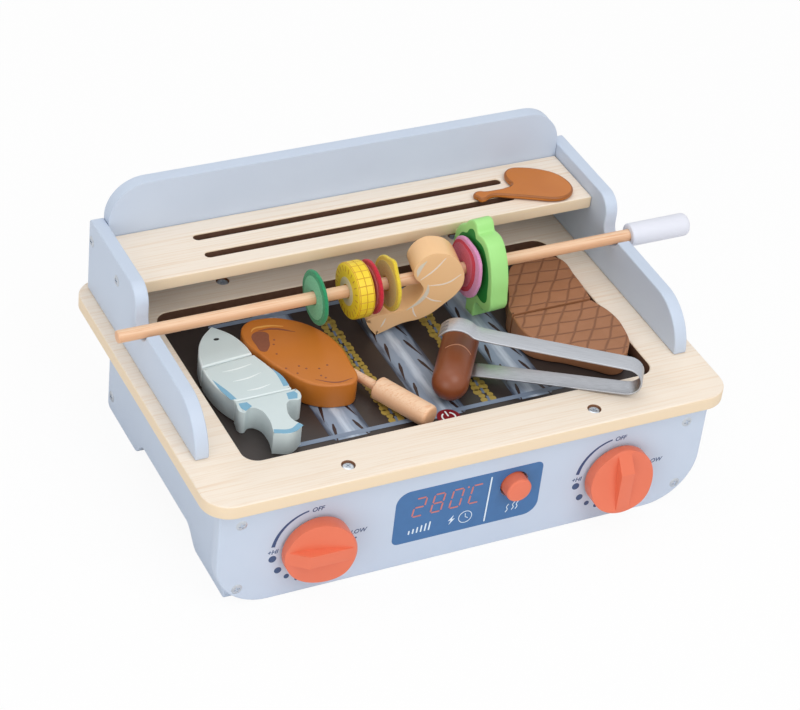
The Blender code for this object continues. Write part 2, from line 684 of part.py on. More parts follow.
def make_splash_back():
    """The tall board behind the shelf."""
    half = BRACKET_INNER - GAP
    top = BOARD_TOP + SPLASH_HEIGHT
    outline = [(half, BOARD_TOP + GAP)]
    outline += arc((half - SPLASH_CORNER, top - SPLASH_CORNER), SPLASH_CORNER, 0, 90)
    outline += arc((-half + SPLASH_CORNER, top - SPLASH_CORNER), SPLASH_CORNER, 90, 180)
    outline.append((-half, BOARD_TOP + GAP))
    board = register("splash_back", plate_mesh("splash_back", (outline,), SPLASH_THICK),
                     (0, SPLASH_FRONT + SPLASH_THICK / 2, 0), FACING_FRONT, PAINT)
    round_over(board, ROUND_EDGE)
    return board


def scoop_mesh():
    """Cutter of one finger scoop: deep at the knob's tail, running out towards its pointer."""
    tail = -KNOB_RADIUS - OVERRUN
    runout = KNOB_RADIUS - SCOOP_RUNOUT
    radius = ((runout - tail) ** 2 + SCOOP_DEPTH ** 2) / (2 * SCOOP_DEPTH)
    points = [(runout, OVERRUN), (tail, OVERRUN)]
    count = 5
    for step in range(count + 1):
        along = tail + (runout - tail) * step / count
        rise = radius - math.sqrt(radius ** 2 - (along - tail) ** 2)
        points.append((along, rise - SCOOP_DEPTH))
    return plate_mesh("finger_scoop", (points,), KNOB_RADIUS)


def make_knob(side, pointer_turn):
    """A turned knob with two finger scoops, standing off the panel on its hub, and its screw."""
    word = "left" if side < 0 else "right"
    profile = [(0, KNOB_HEIGHT)]
    rim = arc((KNOB_RADIUS - KNOB_ROUND, KNOB_HEIGHT - KNOB_ROUND), KNOB_ROUND, 90, 0)
    profile += rim
    profile += [(KNOB_RADIUS, ROUND_EDGE), (KNOB_RADIUS - ROUND_EDGE, 0), (KNOB_HUB_RADIUS, 0),
                (KNOB_HUB_RADIUS, -KNOB_STANDOFF + GAP), (0, -KNOB_STANDOFF + GAP)]
    place = (side * KNOB_X, KNOB_BACK, KNOB_Z)
    turn = (math.radians(90), pointer_turn, 0)
    knob = register(f"{word}_knob", turned_mesh(f"{word}_knob", profile), place, turn, CORAL)
    for flank in (-1, 1):
        across = flank * (GRIP_WIDTH + KNOB_RADIUS) / 2
        lift = Matrix.Translation((0, across, KNOB_HEIGHT))
        mesh = scoop_mesh()
        mesh.transform(lift @ Matrix.Rotation(math.radians(90), 4, "X"))
        cut(knob, register(f"{word}_scoop_{flank}", mesh, place, turn, group=CUTTERS))
    screw_profile = [(0, KNOB_SCREW_HEAD_THICK), (KNOB_SCREW_HEAD, KNOB_SCREW_HEAD_THICK),
                     (KNOB_SCREW_HEAD, 0), (KNOB_SCREW_RADIUS, 0)]
    reach = PANEL_THICK + KNOB_STANDOFF + KNOB_SCREW_BITE
    screw_profile += [(KNOB_SCREW_RADIUS, -reach), (0, -reach)]
    screw_place = (side * KNOB_X, FRONT_PANEL_BACK + GAP, KNOB_Z)
    register(f"{word}_knob_screw", turned_mesh(f"{word}_knob_screw", screw_profile, SCREW_STEPS),
             screw_place, AXIS_BACK, STEEL)
    bore_mesh = rod_mesh(f"{word}_knob_bore", KNOB_SCREW_RADIUS + GAP, 2 * (reach + GAP))
    bore = register(f"{word}_knob_bore", bore_mesh, screw_place, AXIS_BACK, group=CUTTERS)
    cut(knob, bore)
    return bore


def make_button():
    """The sprung push button with its flange, spring and housing behind the panel."""
    length = FLANGE_FRONT - BUTTON_FACE
    profile = [(0, length)]
    profile += arc((BUTTON_RADIUS - BUTTON_ROUND, length - BUTTON_ROUND), BUTTON_ROUND, 90, 0)
    profile += [(BUTTON_RADIUS, 0), (BUTTON_FLANGE_RADIUS, 0),
                (BUTTON_FLANGE_RADIUS, -BUTTON_FLANGE_THICK),
                (BUTTON_BOSS_RADIUS, -BUTTON_FLANGE_THICK),
                (BUTTON_BOSS_RADIUS, -BUTTON_FLANGE_THICK - BUTTON_BOSS_LENGTH),
                (0, -BUTTON_FLANGE_THICK - BUTTON_BOSS_LENGTH)]
    place = (BUTTON_X, FLANGE_FRONT, BUTTON_Z)
    register("push_button", turned_mesh("push_button", profile, BUTTON_STEPS), place, AXIS_FRONT, CORAL)
    inner = BUTTON_FLANGE_RADIUS + GAP
    outer = inner + HOUSING_WALL
    floor = -(SPRING_BACK - FLANGE_FRONT) - GAP
    cup = [(inner, 0), (outer, 0), (outer, floor - HOUSING_WALL), (0, floor - HOUSING_WALL),
           (0, floor), (inner, floor), (inner, 0)]
    register("button_housing", turned_mesh("button_housing", cup, BUTTON_STEPS), place, AXIS_FRONT, NYLON)
    make_spring()
    hole_mesh = rod_mesh("button_hole", BUTTON_HOLE_RADIUS, PANEL_THICK * 2 + OVERRUN, TURN_STEPS)
    return register("button_hole", hole_mesh, (BUTTON_X, FRONT_PANEL_FACE, BUTTON_Z), AXIS_FRONT,
                    group=CUTTERS)


def make_spring():
    """The coil spring that pushes the button out."""
    per_turn = 10
    count = SPRING_TURNS * per_turn
    span = SPRING_LENGTH - 2 * SPRING_WIRE - GAP
    curve = bpy.data.curves.new("button_spring", "CURVE")
    curve.dimensions = "3D"
    curve.bevel_depth = SPRING_WIRE
    curve.bevel_resolution = 0
    curve.use_fill_caps = True
    spline = curve.splines.new("POLY")
    spline.points.add(count)
    rows = []
    for step in range(count + 1):
        angle = 2 * math.pi * step / per_turn
        rows.append(Vector((SPRING_RADIUS * math.cos(angle), SPRING_RADIUS * math.sin(angle),
                            SPRING_WIRE + span * step / count)))
        spline.points[step].co = (*rows[-1], 1)
    least = min((rows[one] - rows[two]).length for one in range(count)
                for two in range(one + per_turn - 2, count + 1))
    print("spring turns, least clear gap in mm:", round((least - 2 * SPRING_WIRE) * 1000, 2))
    thing = bpy.data.objects.new("button_spring_wire", curve)
    CUTTERS.objects.link(thing)
    register("button_spring", evaluated_mesh(thing, "button_spring"),
             (BUTTON_X, SPRING_FRONT, BUTTON_Z), AXIS_BACK, STEEL)


def outward(side):
    """Turn that points a fastener's head away from the grill's middle."""
    return AXIS_RIGHT if side > 0 else AXIS_LEFT


def fasten_base(board, front, rear, sides):
    """Screw the panels to each other and the board to the panels."""
    for side, panel in zip((-1, 1), sides):
        word = "left" if side < 0 else "right"
        for row, level in zip(("upper", "lower"), FRONT_SCREW_ROWS):
            place = (side * SIDE_MIDDLE, FRONT_PANEL_FACE + SCREW_SUNK, level)
            wood_screw(f"{word}_{row}_panel_screw", place, AXIS_FRONT, front, panel)
        place = (side * (SIDE_OUTER - SCREW_SUNK), REAR_PANEL_MIDDLE, SIDE_SCREW_Z)
        wood_screw(f"{word}_rear_panel_screw", place, outward(side), panel, rear)
        rows = (("front", FRONT_PANEL_FACE + PANEL_THICK / 2, front), ("rear", REAR_PANEL_MIDDLE, rear))
        for row, depth, carrier in rows:
            place = (side * TOP_SCREW_X, depth, BOARD_TOP - SCREW_SUNK)
            wood_screw(f"{word}_{row}_board_screw", place, AXIS_UP, board, carrier)


def fasten_brackets(board, brackets, shelf, splash):
    """Bolt the brackets to the board from below and screw them to the shelf and splash-back."""
    bolt_top = NUT_Z + NUT_RADIUS + BOLT_PAST_NUT
    reach = bolt_top - PANEL_TOP
    profile = [(0, reach), (BOLT_RADIUS, reach), (BOLT_RADIUS, 0), (BOLT_HEAD_RADIUS, 0),
               (BOLT_HEAD_RADIUS, -BOLT_HEAD_THICK), (0, -BOLT_HEAD_THICK)]
    bolt_mesh = turned_mesh("bracket_bolt", profile, SCREW_STEPS)
    bore_mesh = rod_mesh("bolt_bore", BOLT_RADIUS + GAP, 2 * (reach + GAP))
    pocket_mesh = rod_mesh("nut_bore", NUT_RADIUS + GAP, 2 * (NUT_LENGTH + GAP + GAP))
    for side, bracket in zip((-1, 1), brackets):
        word = "left" if side < 0 else "right"
        inner = side * BRACKET_INNER
        nut_middle = side * (BRACKET_INNER + GAP + NUT_LENGTH / 2)
        for row, place in zip(("front", "rear"), BRACKET_BOLT_ROWS):
            spot = (side * BRACKET_MIDDLE, place, PANEL_TOP)
            register(f"{word}_{row}_bracket_bolt", bolt_mesh, spot, material=STEEL)
            bore = register(f"{word}_{row}_bolt_bore", bore_mesh, spot, group=CUTTERS)
            nut_mesh = rod_mesh(f"{word}_{row}_barrel_nut", NUT_RADIUS, NUT_LENGTH)
            nut_spot = (nut_middle, place, NUT_Z)
            nut = register(f"{word}_{row}_barrel_nut", nut_mesh, nut_spot, AXIS_RIGHT, STEEL)
            pocket = register(f"{word}_{row}_nut_bore", pocket_mesh, (inner, place, NUT_Z), AXIS_RIGHT,
                              group=CUTTERS)
            cut(board, bore)
            cut(bracket, bore)
            cut(bracket, pocket)
            cut(nut, bore)
        outer = side * (BRACKET_OUTER - SCREW_SUNK)
        place = (outer, SHELF_SCREW_Y, SHELF_BOTTOM + SHELF_THICK / 2)
        wood_screw(f"{word}_shelf_screw", place, outward(side), bracket, shelf)
        place = (outer, SPLASH_FRONT + SPLASH_THICK / 2, SPLASH_SCREW_Z)
        wood_screw(f"{word}_splash_screw", place, outward(side), bracket, splash)


def make_skewer():
    """The beech stick that lies in the brackets' notches, with its painted handle."""
    stick_end = HANDLE_START + HANDLE_SOCKET
    length = stick_end - STICK_END
    radius = STICK_RADIUS
    profile = [(0, length), (radius, length), (radius, STICK_TIP_ROUND),
               (radius - STICK_TIP_ROUND, 0), (0, 0)]
    register("skewer_stick", turned_mesh("skewer_stick", profile, ROD_STEPS),
             (STICK_END, STICK_Y, STICK_Z), AXIS_RIGHT, BEECH)
    span = HANDLE_END - HANDLE_START
    grip = [(0, span)]
    grip += arc((HANDLE_RADIUS - HANDLE_ROUND, span - HANDLE_ROUND), HANDLE_ROUND, 90, 0)
    grip += [(HANDLE_RADIUS, ROUND_EDGE), (HANDLE_RADIUS - ROUND_EDGE, 0), (STICK_RADIUS + GAP, 0),
             (STICK_RADIUS + GAP, HANDLE_SOCKET + GAP), (0, HANDLE_SOCKET + GAP)]
    register("skewer_handle", turned_mesh("skewer_handle", grip, ROD_STEPS),
             (HANDLE_START, STICK_Y, STICK_Z), AXIS_RIGHT, WHITE)


def disc_food(name, middle, thick, radius, edge, material):
    """A round slice threaded on the stick."""
    hole = STICK_RADIUS + THREAD_FIT
    half = thick / 2
    profile = [(hole, half), (radius, half), (radius, -half), (hole, -half), (hole, half)]
    thing = register(name, turned_mesh(name, profile), (middle, STICK_Y, STICK_Z), AXIS_RIGHT, material)
    round_over(thing, edge)


def threaded_food(name, points, corners, thick, place, rotation, edge, material):
    """A flat food with a bore along the stick."""
    thing = register(name, soft_plate_mesh(name, points, corners, thick), place, rotation, material)
    round_over(thing, edge)
    bore_mesh = rod_mesh(name + "_bore", STICK_RADIUS + THREAD_FIT, HANDLE_END - STICK_END, ROD_STEPS)
    bore = register(name + "_bore", bore_mesh, (FRAME_X, STICK_Y, STICK_Z), AXIS_RIGHT, group=CUTTERS)
    cut(thing, bore)


def make_lemon():
    """A felt lemon slice with its nib."""
    points = []
    for step in range(TURN_STEPS):
        angle = 2 * math.pi * step / TURN_STEPS
        away = abs(math.remainder(angle - LEMON_NIB_ANGLE, 2 * math.pi))
        reach = LEMON_RADIUS + LEMON_NIB * math.exp(-(away / LEMON_NIB_SPREAD) ** 2)
        points.append((reach * math.cos(angle), reach * math.sin(angle)))
    mesh = plate_mesh("lemon_slice", (points,), LEMON_THICK)
    thing = register("lemon_slice", mesh, (LEMON_X, STICK_Y, STICK_Z), FACING_SIDE, YELLOW_FELT)
    round_over(thing, FELT_EDGE)
    bore_mesh = rod_mesh("lemon_bore", STICK_RADIUS + THREAD_FIT, LEMON_THICK + OVERRUN, ROD_STEPS)
    cut(thing, register("lemon_bore", bore_mesh, (LEMON_X, STICK_Y, STICK_Z), AXIS_RIGHT, group=CUTTERS))


def make_skewer_foods():
    """The slices and pieces that are threaded on the stick, from left to right."""
    disc_food("cucumber_slice", CUCUMBER_X, CUCUMBER_THICK, CUCUMBER_RADIUS, FELT_EDGE, GREEN_FELT)
    disc_food("corn_slice", CORN_X, CORN_THICK, CORN_RADIUS, SOFT_EDGE, CORN_PAINT)
    disc_food("tomato_slice", TOMATO_X, TOMATO_THICK, TOMATO_RADIUS, FELT_EDGE, RED_FELT)
    make_lemon()
    threaded_food("shrimp", scaled(SHRIMP_SHARES, SHRIMP_LENGTH, SHRIMP_HEIGHT), SHRIMP_CORNERS,
                  SHRIMP_THICK, (SHRIMP_X, STICK_Y, STICK_Z), (math.radians(90), 0, SHRIMP_TURN),
                  SOFT_EDGE, SHRIMP_PAINT)
    threaded_food("ham_slice", scaled(HAM_SHARES, HAM_WIDTH, HAM_HEIGHT), (), HAM_THICK,
                  (HAM_X, STICK_Y, STICK_Z), FACING_SIDE, FELT_EDGE, PINK_FELT)
    threaded_food("broccoli", scaled(BROCCOLI_SHARES, BROCCOLI_WIDTH, BROCCOLI_HEIGHT),
                  BROCCOLI_CORNERS, BROCCOLI_THICK, (BROCCOLI_X, STICK_Y, STICK_Z),
                  (math.radians(90), 0, math.radians(90) + BROCCOLI_TURN), SOFT_EDGE, BROCCOLI_PAINT)


def well_food(name, shares, corners, size, place, material):
    """A flat wooden food of a width, length and thickness that lies on the well's floor."""
    width, length, thick = size
    mesh = soft_plate_mesh(name, scaled(shares, width, length), corners, thick)
    thing = register(name, mesh, (*place, WELL_FLOOR + thick / 2), material=material)
    round_over(thing, SOFT_EDGE)
    return thing


def make_well_foods():
    """The fish in three bites, the chicken leg and the steak in two bites."""
    rows = (("head", FISH_HEAD_SHARES), ("body", FISH_BODY_SHARES), ("tail", FISH_TAIL_SHARES))
    for bite, shares in rows:
        well_food(f"fish_{bite}", shares, FISH_CORNERS[bite], (FISH_WIDTH, FISH_LENGTH, WELL_FOOD_THICK),
                  (FISH_X, FISH_Y), FISH_PAINT)
    rows = (("back", STEAK_BACK_SHARES), ("front", STEAK_FRONT_SHARES))
    for bite, shares in rows:
        well_food(f"steak_{bite}", shares, STEAK_CORNERS[bite],
                  (STEAK_WIDTH, STEAK_LENGTH, WELL_FOOD_THICK), (STEAK_X, STEAK_Y), STEAK_PAINT)
    meat = well_food("chicken_meat", CHICKEN_SHARES, (), (CHICKEN_WIDTH, CHICKEN_LENGTH, CHICKEN_THICK),
                     (CHICKEN_X, CHICKEN_Y), ROAST)
    make_chicken_bone(meat)


def make_chicken_bone(meat):
    """The chicken's bone: a thin dowel in the meat that widens to a turned handle."""
    start = BONE_LENGTH
    end = BONE_LENGTH + BONE_HANDLE_LENGTH
    profile = [(0, end)]
    profile += arc((BONE_HANDLE_RADIUS - BONE_HANDLE_ROUND, end - BONE_HANDLE_ROUND),
                   BONE_HANDLE_ROUND, 90, 0)
    profile += [(BONE_HANDLE_RADIUS, start + ROUND_EDGE), (BONE_HANDLE_RADIUS - ROUND_EDGE, start),
                (BONE_RADIUS, start), (BONE_RADIUS, 0), (0, 0)]
    place = (CHICKEN_BORE_X, CHICKEN_BORE_Y, WELL_FLOOR + BONE_HANDLE_RADIUS + GAP)
    turn = (0, math.radians(90), BONE_TURN)
    register("chicken_bone", turned_mesh("chicken_bone", profile, ROD_STEPS), place, turn, BEECH)
    bore = rod_mesh("bone_bore", BONE_RADIUS + GAP, BONE_LENGTH)
    bore.transform(Matrix.Translation((0, 0, BONE_LENGTH / 2 - GAP)))
    cut(meat, register("bone_bore", bore, place, turn, group=CUTTERS))


def make_drumstick():
    """The thin wooden drumstick on the shelf."""
    mesh = soft_plate_mesh("drumstick", scaled(DRUMSTICK_SHARES, DRUMSTICK_LENGTH, DRUMSTICK_WIDTH), (),
                           DRUMSTICK_THICK)
    thing = register("drumstick", mesh, (DRUMSTICK_X, DRUMSTICK_Y, SHELF_TOP + GAP + DRUMSTICK_THICK / 2),
                     material=ROAST)
    round_over(thing, SOFT_EDGE)


def tongs_arm(side):
    """Middle line of one arm from its root to its jaw's tip, in the tongs' own plane."""
    jaw = arc((JAW_MIDDLE, side * JAW_OFFSET), JAW_RADIUS, side * (90 + JAW_ROOT_DEG),
              side * (90 - JAW_TIP_DEG))
    return [(0, side * TONGS_BEND_RADIUS)] + jaw


def strap_outline(line, thick):
    """Outline of a strap of even thickness along a middle line."""
    left = []
    right = []
    for index, point in enumerate(line):
        before = Vector(line[max(index - 1, 0)])
        after = Vector(line[min(index + 1, len(line) - 1)])
        along = (after - before).normalized()
        normal = Vector((-along.y, along.x))
        left.append(tuple(Vector(point) + normal * thick / 2))
        right.append(tuple(Vector(point) - normal * thick / 2))
    return left + right[::-1]


def make_tongs():
    """Spring tongs of one bent strap on the well's front rim, their upper arm a piece of its own."""
    bend = arc((0, 0), TONGS_BEND_RADIUS, 90, 270)
    lower_line = bend + tongs_arm(-1)[1:]
    lower_line[0] = (-GAP / 2, lower_line[0][1])
    upper_line = tongs_arm(1)
    upper_line[0] = (GAP / 2, upper_line[0][1])
    pose = (Matrix.Rotation(TONGS_TURN, 4, "Z") @ Matrix.Rotation(TONGS_DIP, 4, "Y")
            @ Matrix.Rotation(math.radians(90), 4, "X"))
    place = (TONGS_X, TONGS_Y, TONGS_Z)
    half = Matrix.Translation((0, 0, TONGS_STRAP_WIDTH / 2))
    for name, line in (("tongs_lower_arm", lower_line), ("tongs_upper_arm", upper_line)):
        mesh = plate_mesh(name, (strap_outline(line, TONGS_STRAP),), TONGS_STRAP_WIDTH)
        mesh.transform(half)
        register(name, mesh, place, pose.to_euler(), STRAP)
    make_sausage(place, pose)


def make_sausage(place, pose):
    """The sausage that lies in the lower jaw, square to the tongs."""
    straight = SAUSAGE_LENGTH / 2 - SAUSAGE_RADIUS
    profile = arc((0, straight), SAUSAGE_RADIUS, 90, 0)
    profile += [(across, -level) for across, level in reversed(profile)]
    profile[0] = (0, profile[0][1])
    profile[-1] = (0, profile[-1][1])
    drop = JAW_RADIUS - TONGS_STRAP / 2 - SAUSAGE_RADIUS - GAP
    middle = (JAW_MIDDLE, -JAW_OFFSET - drop, SAUSAGE_LENGTH / 2 - SAUSAGE_OVERHANG)
    mesh = turned_mesh("sausage", profile, BUTTON_STEPS)
    mesh.transform(Matrix.Translation(middle))
    register("sausage", mesh, place, pose.to_euler(), SAUSAGE_PAINT)


def build_grill():
    """Build every piece of the set."""
    board = make_top_board()
    front = make_front_panel()
    rear = make_rear_panel()
    sides = [make_side_panel(side) for side in (-1, 1)]
    make_burner_board()
    brackets = [make_bracket(side) for side in (-1, 1)]
    shelf = make_shelf()
    splash = make_splash_back()
    for side, pointer_turn in ((-1, 0), (1, math.radians(90))):
        cut(front, make_knob(side, pointer_turn))
    cut(front, make_button())
    fasten_base(board, front, rear, sides)
    fasten_brackets(board, brackets, shelf, splash)
    make_skewer()
    make_skewer_foods()
    make_well_foods()
    make_drumstick()
    make_tongs()


build_grill()
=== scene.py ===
"""Looks of the toy barbecue grill: painted boards, printed controls, tongs, skewer and play food.

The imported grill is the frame. Shapes are drawn in the grill's own place, with X along the board,
-Y towards the player and Z up from the floor, and HOME moves them into the frame's place.
"""

import logging
import math
from dataclasses import dataclass, field
from enum import Enum
from typing import Sequence

import bmesh
import bpy
from bmesh.types import BMesh, BMVert
from bpy.types import Material, Node, NodeSocket, NodeTree, Object
from mathutils import Matrix, Vector, noise


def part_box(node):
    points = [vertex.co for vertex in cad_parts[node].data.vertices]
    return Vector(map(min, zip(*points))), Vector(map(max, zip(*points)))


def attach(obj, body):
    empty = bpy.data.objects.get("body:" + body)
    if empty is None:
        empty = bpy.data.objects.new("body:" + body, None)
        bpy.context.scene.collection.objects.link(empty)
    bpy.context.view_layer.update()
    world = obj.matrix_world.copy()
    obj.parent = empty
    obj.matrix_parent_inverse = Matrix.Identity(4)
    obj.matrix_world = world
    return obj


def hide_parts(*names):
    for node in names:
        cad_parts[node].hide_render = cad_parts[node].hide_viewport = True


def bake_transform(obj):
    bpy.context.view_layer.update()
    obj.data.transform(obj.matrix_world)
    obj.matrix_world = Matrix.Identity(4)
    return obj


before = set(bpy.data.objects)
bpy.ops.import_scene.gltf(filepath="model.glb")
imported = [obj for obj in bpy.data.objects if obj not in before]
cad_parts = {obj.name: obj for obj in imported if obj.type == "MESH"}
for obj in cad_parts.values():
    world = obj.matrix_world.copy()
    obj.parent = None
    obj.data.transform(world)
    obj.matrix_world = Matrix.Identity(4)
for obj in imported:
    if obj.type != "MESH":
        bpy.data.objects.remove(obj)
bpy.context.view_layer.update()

Point = tuple[float, float]
LOG = logging.getLogger("toy_grill")

# Prints and felt
INK_THICK = 0.0001
INK_BITE = 0.00002
FELT_PROUD = 0.00022
FELT_BITE = 0.00015
FELT_EDGE = 0.0002
FELT_THICK = 0.003
CAPITAL_SHARE = 0.69
LETTER_BOLDER = 0.00008

# Meshes: what merges, what stays sharp, what counts as flat or upright
WELD = 0.000002
CRISP_ANGLE = math.radians(30)
SMOOTH_ANGLE = math.radians(38)
FLAT_LIMIT = 0.98
WALL_LIMIT = 0.2
HOLD = 1.35

# Places and sizes that several pieces share
BOARD_BACK = 0.147
BASE_HEIGHT = 0.0893
BOARD_THICK = 0.011
BOARD_TOP = BASE_HEIGHT + BOARD_THICK
WELL_FLOOR = BASE_HEIGHT
PANEL_THICK = 0.01
PANEL_FACE = -0.1091
SIDE_OUTER = 0.1772
JOINT_GAP = 0.0003
EDGE_REACH = 0.0004


def shift(x: float, y: float, z: float) -> Matrix:
    """A move."""
    return Matrix.Translation((x, y, z))


def turn_about(degrees: float, axis: str) -> Matrix:
    """A turn about one of the axes."""
    return Matrix.Rotation(math.radians(degrees), 4, axis)


def find_home() -> Matrix:
    """Move from the grill's own place, with X 0 at the board's middle, to the frame's."""
    low, high = (Vector(corner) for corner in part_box("top_board"))
    return shift((low.x + high.x) / 2, high.y - BOARD_BACK, 0.0)


HOME = find_home()

# Directions that a flat drawing, or a shape turned about Z, is stood up in
UPRIGHT_FRONT = turn_about(90, "X")
UPRIGHT_SIDE = turn_about(90, "Z") @ UPRIGHT_FRONT
ALONG_X = turn_about(90, "Y")
TOWARDS_FRONT = turn_about(90, "X")


class Slot(Enum):
    """The record's finish names."""

    PAINT = "blue_grey_paint"
    PLY = "beech_ply"
    PRINT = "burner_print"
    CORAL = "coral_paint"
    STEEL = "zinc_steel"
    STRAP = "strap_steel"
    BEECH = "turned_beech"
    WHITE = "white_paint"
    FISH = "fish_paint"
    ROAST = "roast_paint"
    STEAK = "steak_paint"
    SAUSAGE = "sausage_paint"
    BROCCOLI = "broccoli_paint"
    SHRIMP = "shrimp_paint"
    CORN = "corn_paint"
    GREEN_FELT = "green_felt"
    RED_FELT = "red_felt"
    YELLOW_FELT = "yellow_felt"
    PINK_FELT = "pink_felt"


class Side(Enum):
    """Left or right of the grill, as the player sees it."""

    LEFT = -1
    RIGHT = 1

    @property
    def word(self) -> str:
        """The word that names start with."""
        return self.name.lower()


# Colours and materials


def srgb(code: str) -> tuple[float, float, float, float]:
    """Linear colour of an sRGB hex code.

    Args:
        code: A code such as "#CAD5E6".

    Returns:
        Red, green, blue and alpha.
    """
    parts = [int(code[start:start + 2], 16) / 255 for start in (1, 3, 5)]
    linear = [part / 12.92 if part <= 0.04045 else ((part + 0.055) / 1.055) ** 2.4 for part in parts]
    return (linear[0], linear[1], linear[2], 1.0)


def add_node(tree: NodeTree, kind: str, settings: dict | None = None, inputs: dict | None = None) -> Node:
    """Add a shader node with its settings and links.

    Args:
        tree: The node tree that it joins.
        kind: The node's type, without the words that all shader nodes start with.
        settings: Attributes to set on it; "stops" are places and colours of a colour ramp.
        inputs: Sockets to set or, where the value is a socket, to link.

    Returns:
        The node.
    """
    node = tree.nodes.new(f"ShaderNode{kind}")
    for key, value in (settings or {}).items():
        if key != "stops":
            setattr(node, key, value)
            continue
        points = node.color_ramp.elements
        while len(points) < len(value):
            points.new(0.5)
        for point, (place, colour) in zip(points, value):
            point.position = place
            point.color = colour
    for key, value in (inputs or {}).items():
        if isinstance(value, NodeSocket):
            tree.links.new(value, node.inputs[key])
        else:
            node.inputs[key].default_value = value
    return node


class Recipe:
    """One material under way: its node tree and its shader."""

    def __init__(self, name: str, roughness: float, metallic: float = 0.0) -> None:
        """Start a material with its constants on the shader's own sockets.

        Args:
            name: The material's name.
            roughness: Its roughness.
            metallic: 1 for a metal.
        """
        self.material = bpy.data.materials.new(name)
        self.material.use_nodes = True
        self.tree = self.material.node_tree
        self.shader = self.tree.nodes["Principled BSDF"]
        self.shader.inputs["Roughness"].default_value = roughness
        self.shader.inputs["Metallic"].default_value = metallic

    def add(self, kind: str, settings: dict | None = None, inputs: dict | None = None) -> Node:
        """Add a node to the material."""
        return add_node(self.tree, kind, settings, inputs)

    def place(self, scale: Sequence[float], turn_deg: float = 0.0,
              move: Sequence[float] = (0, 0, 0)) -> NodeSocket:
        """Object coordinates in cycles.

        Args:
            scale: Real size of one cycle along each axis.
            turn_deg: Turn of the pattern about Z.
            move: Where the pattern's middle lies.

        Returns:
            The coordinates, one unit to a cycle.
        """
        coords = self.add("TexCoord")
        moved_coords = self.add("Mapping", {"vector_type": "TEXTURE"}, {
            "Vector": coords.outputs["Object"], "Location": tuple(move),
            "Rotation": (0, 0, math.radians(turn_deg))})
        sized = self.add("Mapping", None, {
            "Vector": moved_coords.outputs[0], "Scale": tuple(1 / size for size in scale)})
        return sized.outputs[0]

    def colour(self, socket: NodeSocket) -> None:
        """Give the shader its colour."""
        self.tree.links.new(socket, self.shader.inputs["Base Color"])

    def relief(self, height: NodeSocket, depth: float, strength: float = 1.0) -> None:
        """Give the shader a relief.

        Args:
            height: The pattern that rises and sinks.
            depth: How deep it is, in metres.
            strength: Share of that depth that shows.
        """
        bump = self.add("Bump", None, {
            "Height": height, "Distance": depth, "Strength": strength})
        self.tree.links.new(bump.outputs["Normal"], self.shader.inputs["Normal"])


MATERIALS: dict[str, Material] = {}
YES = srgb("#FFFFFF")
NO = srgb("#000000")
RGBA = {"data_type": "RGBA"}


class Finish:
    """A finish that is made into one material, once."""

    name: str

    def recipe(self) -> Recipe:
        """Build the material's nodes."""
        raise NotImplementedError

    def material(self) -> Material:
        """The finish's material."""
        if self.name not in MATERIALS:
            MATERIALS[self.name] = self.recipe().material
        return MATERIALS[self.name]


@dataclass(frozen=True)
class Paint(Finish):
    """Sprayed water-based paint on sanded wood: an even satin coat with a faint roller peel."""

    name: str
    tone: str
    shade: str
    roughness: float = 0.5
    patch: float = 0.03
    metallic: float = 0.0
    peel: float = 0.0011
    peel_depth: float = 0.00003

    def recipe(self) -> Recipe:
        """Two close tones in patches, with a fine peel in relief where the coat has one.

        Returns:
            The recipe.
        """
        recipe = Recipe(self.name, self.roughness, self.metallic)
        patches = recipe.add("TexNoise", None, {
            "Vector": recipe.place((self.patch,) * 3), "Scale": 1.0, "Detail": 2.0})
        tones = recipe.add("Mix", RGBA, {
            0: patches.outputs["Fac"], 6: srgb(self.tone), 7: srgb(self.shade)})
        recipe.colour(tones.outputs[2])
        if self.peel_depth:
            peel = recipe.add("TexNoise", None, {
                "Vector": recipe.place((self.peel,) * 3), "Scale": 1.0, "Detail": 2.0})
            recipe.relief(peel.outputs["Fac"], self.peel_depth, 0.6)
        return recipe


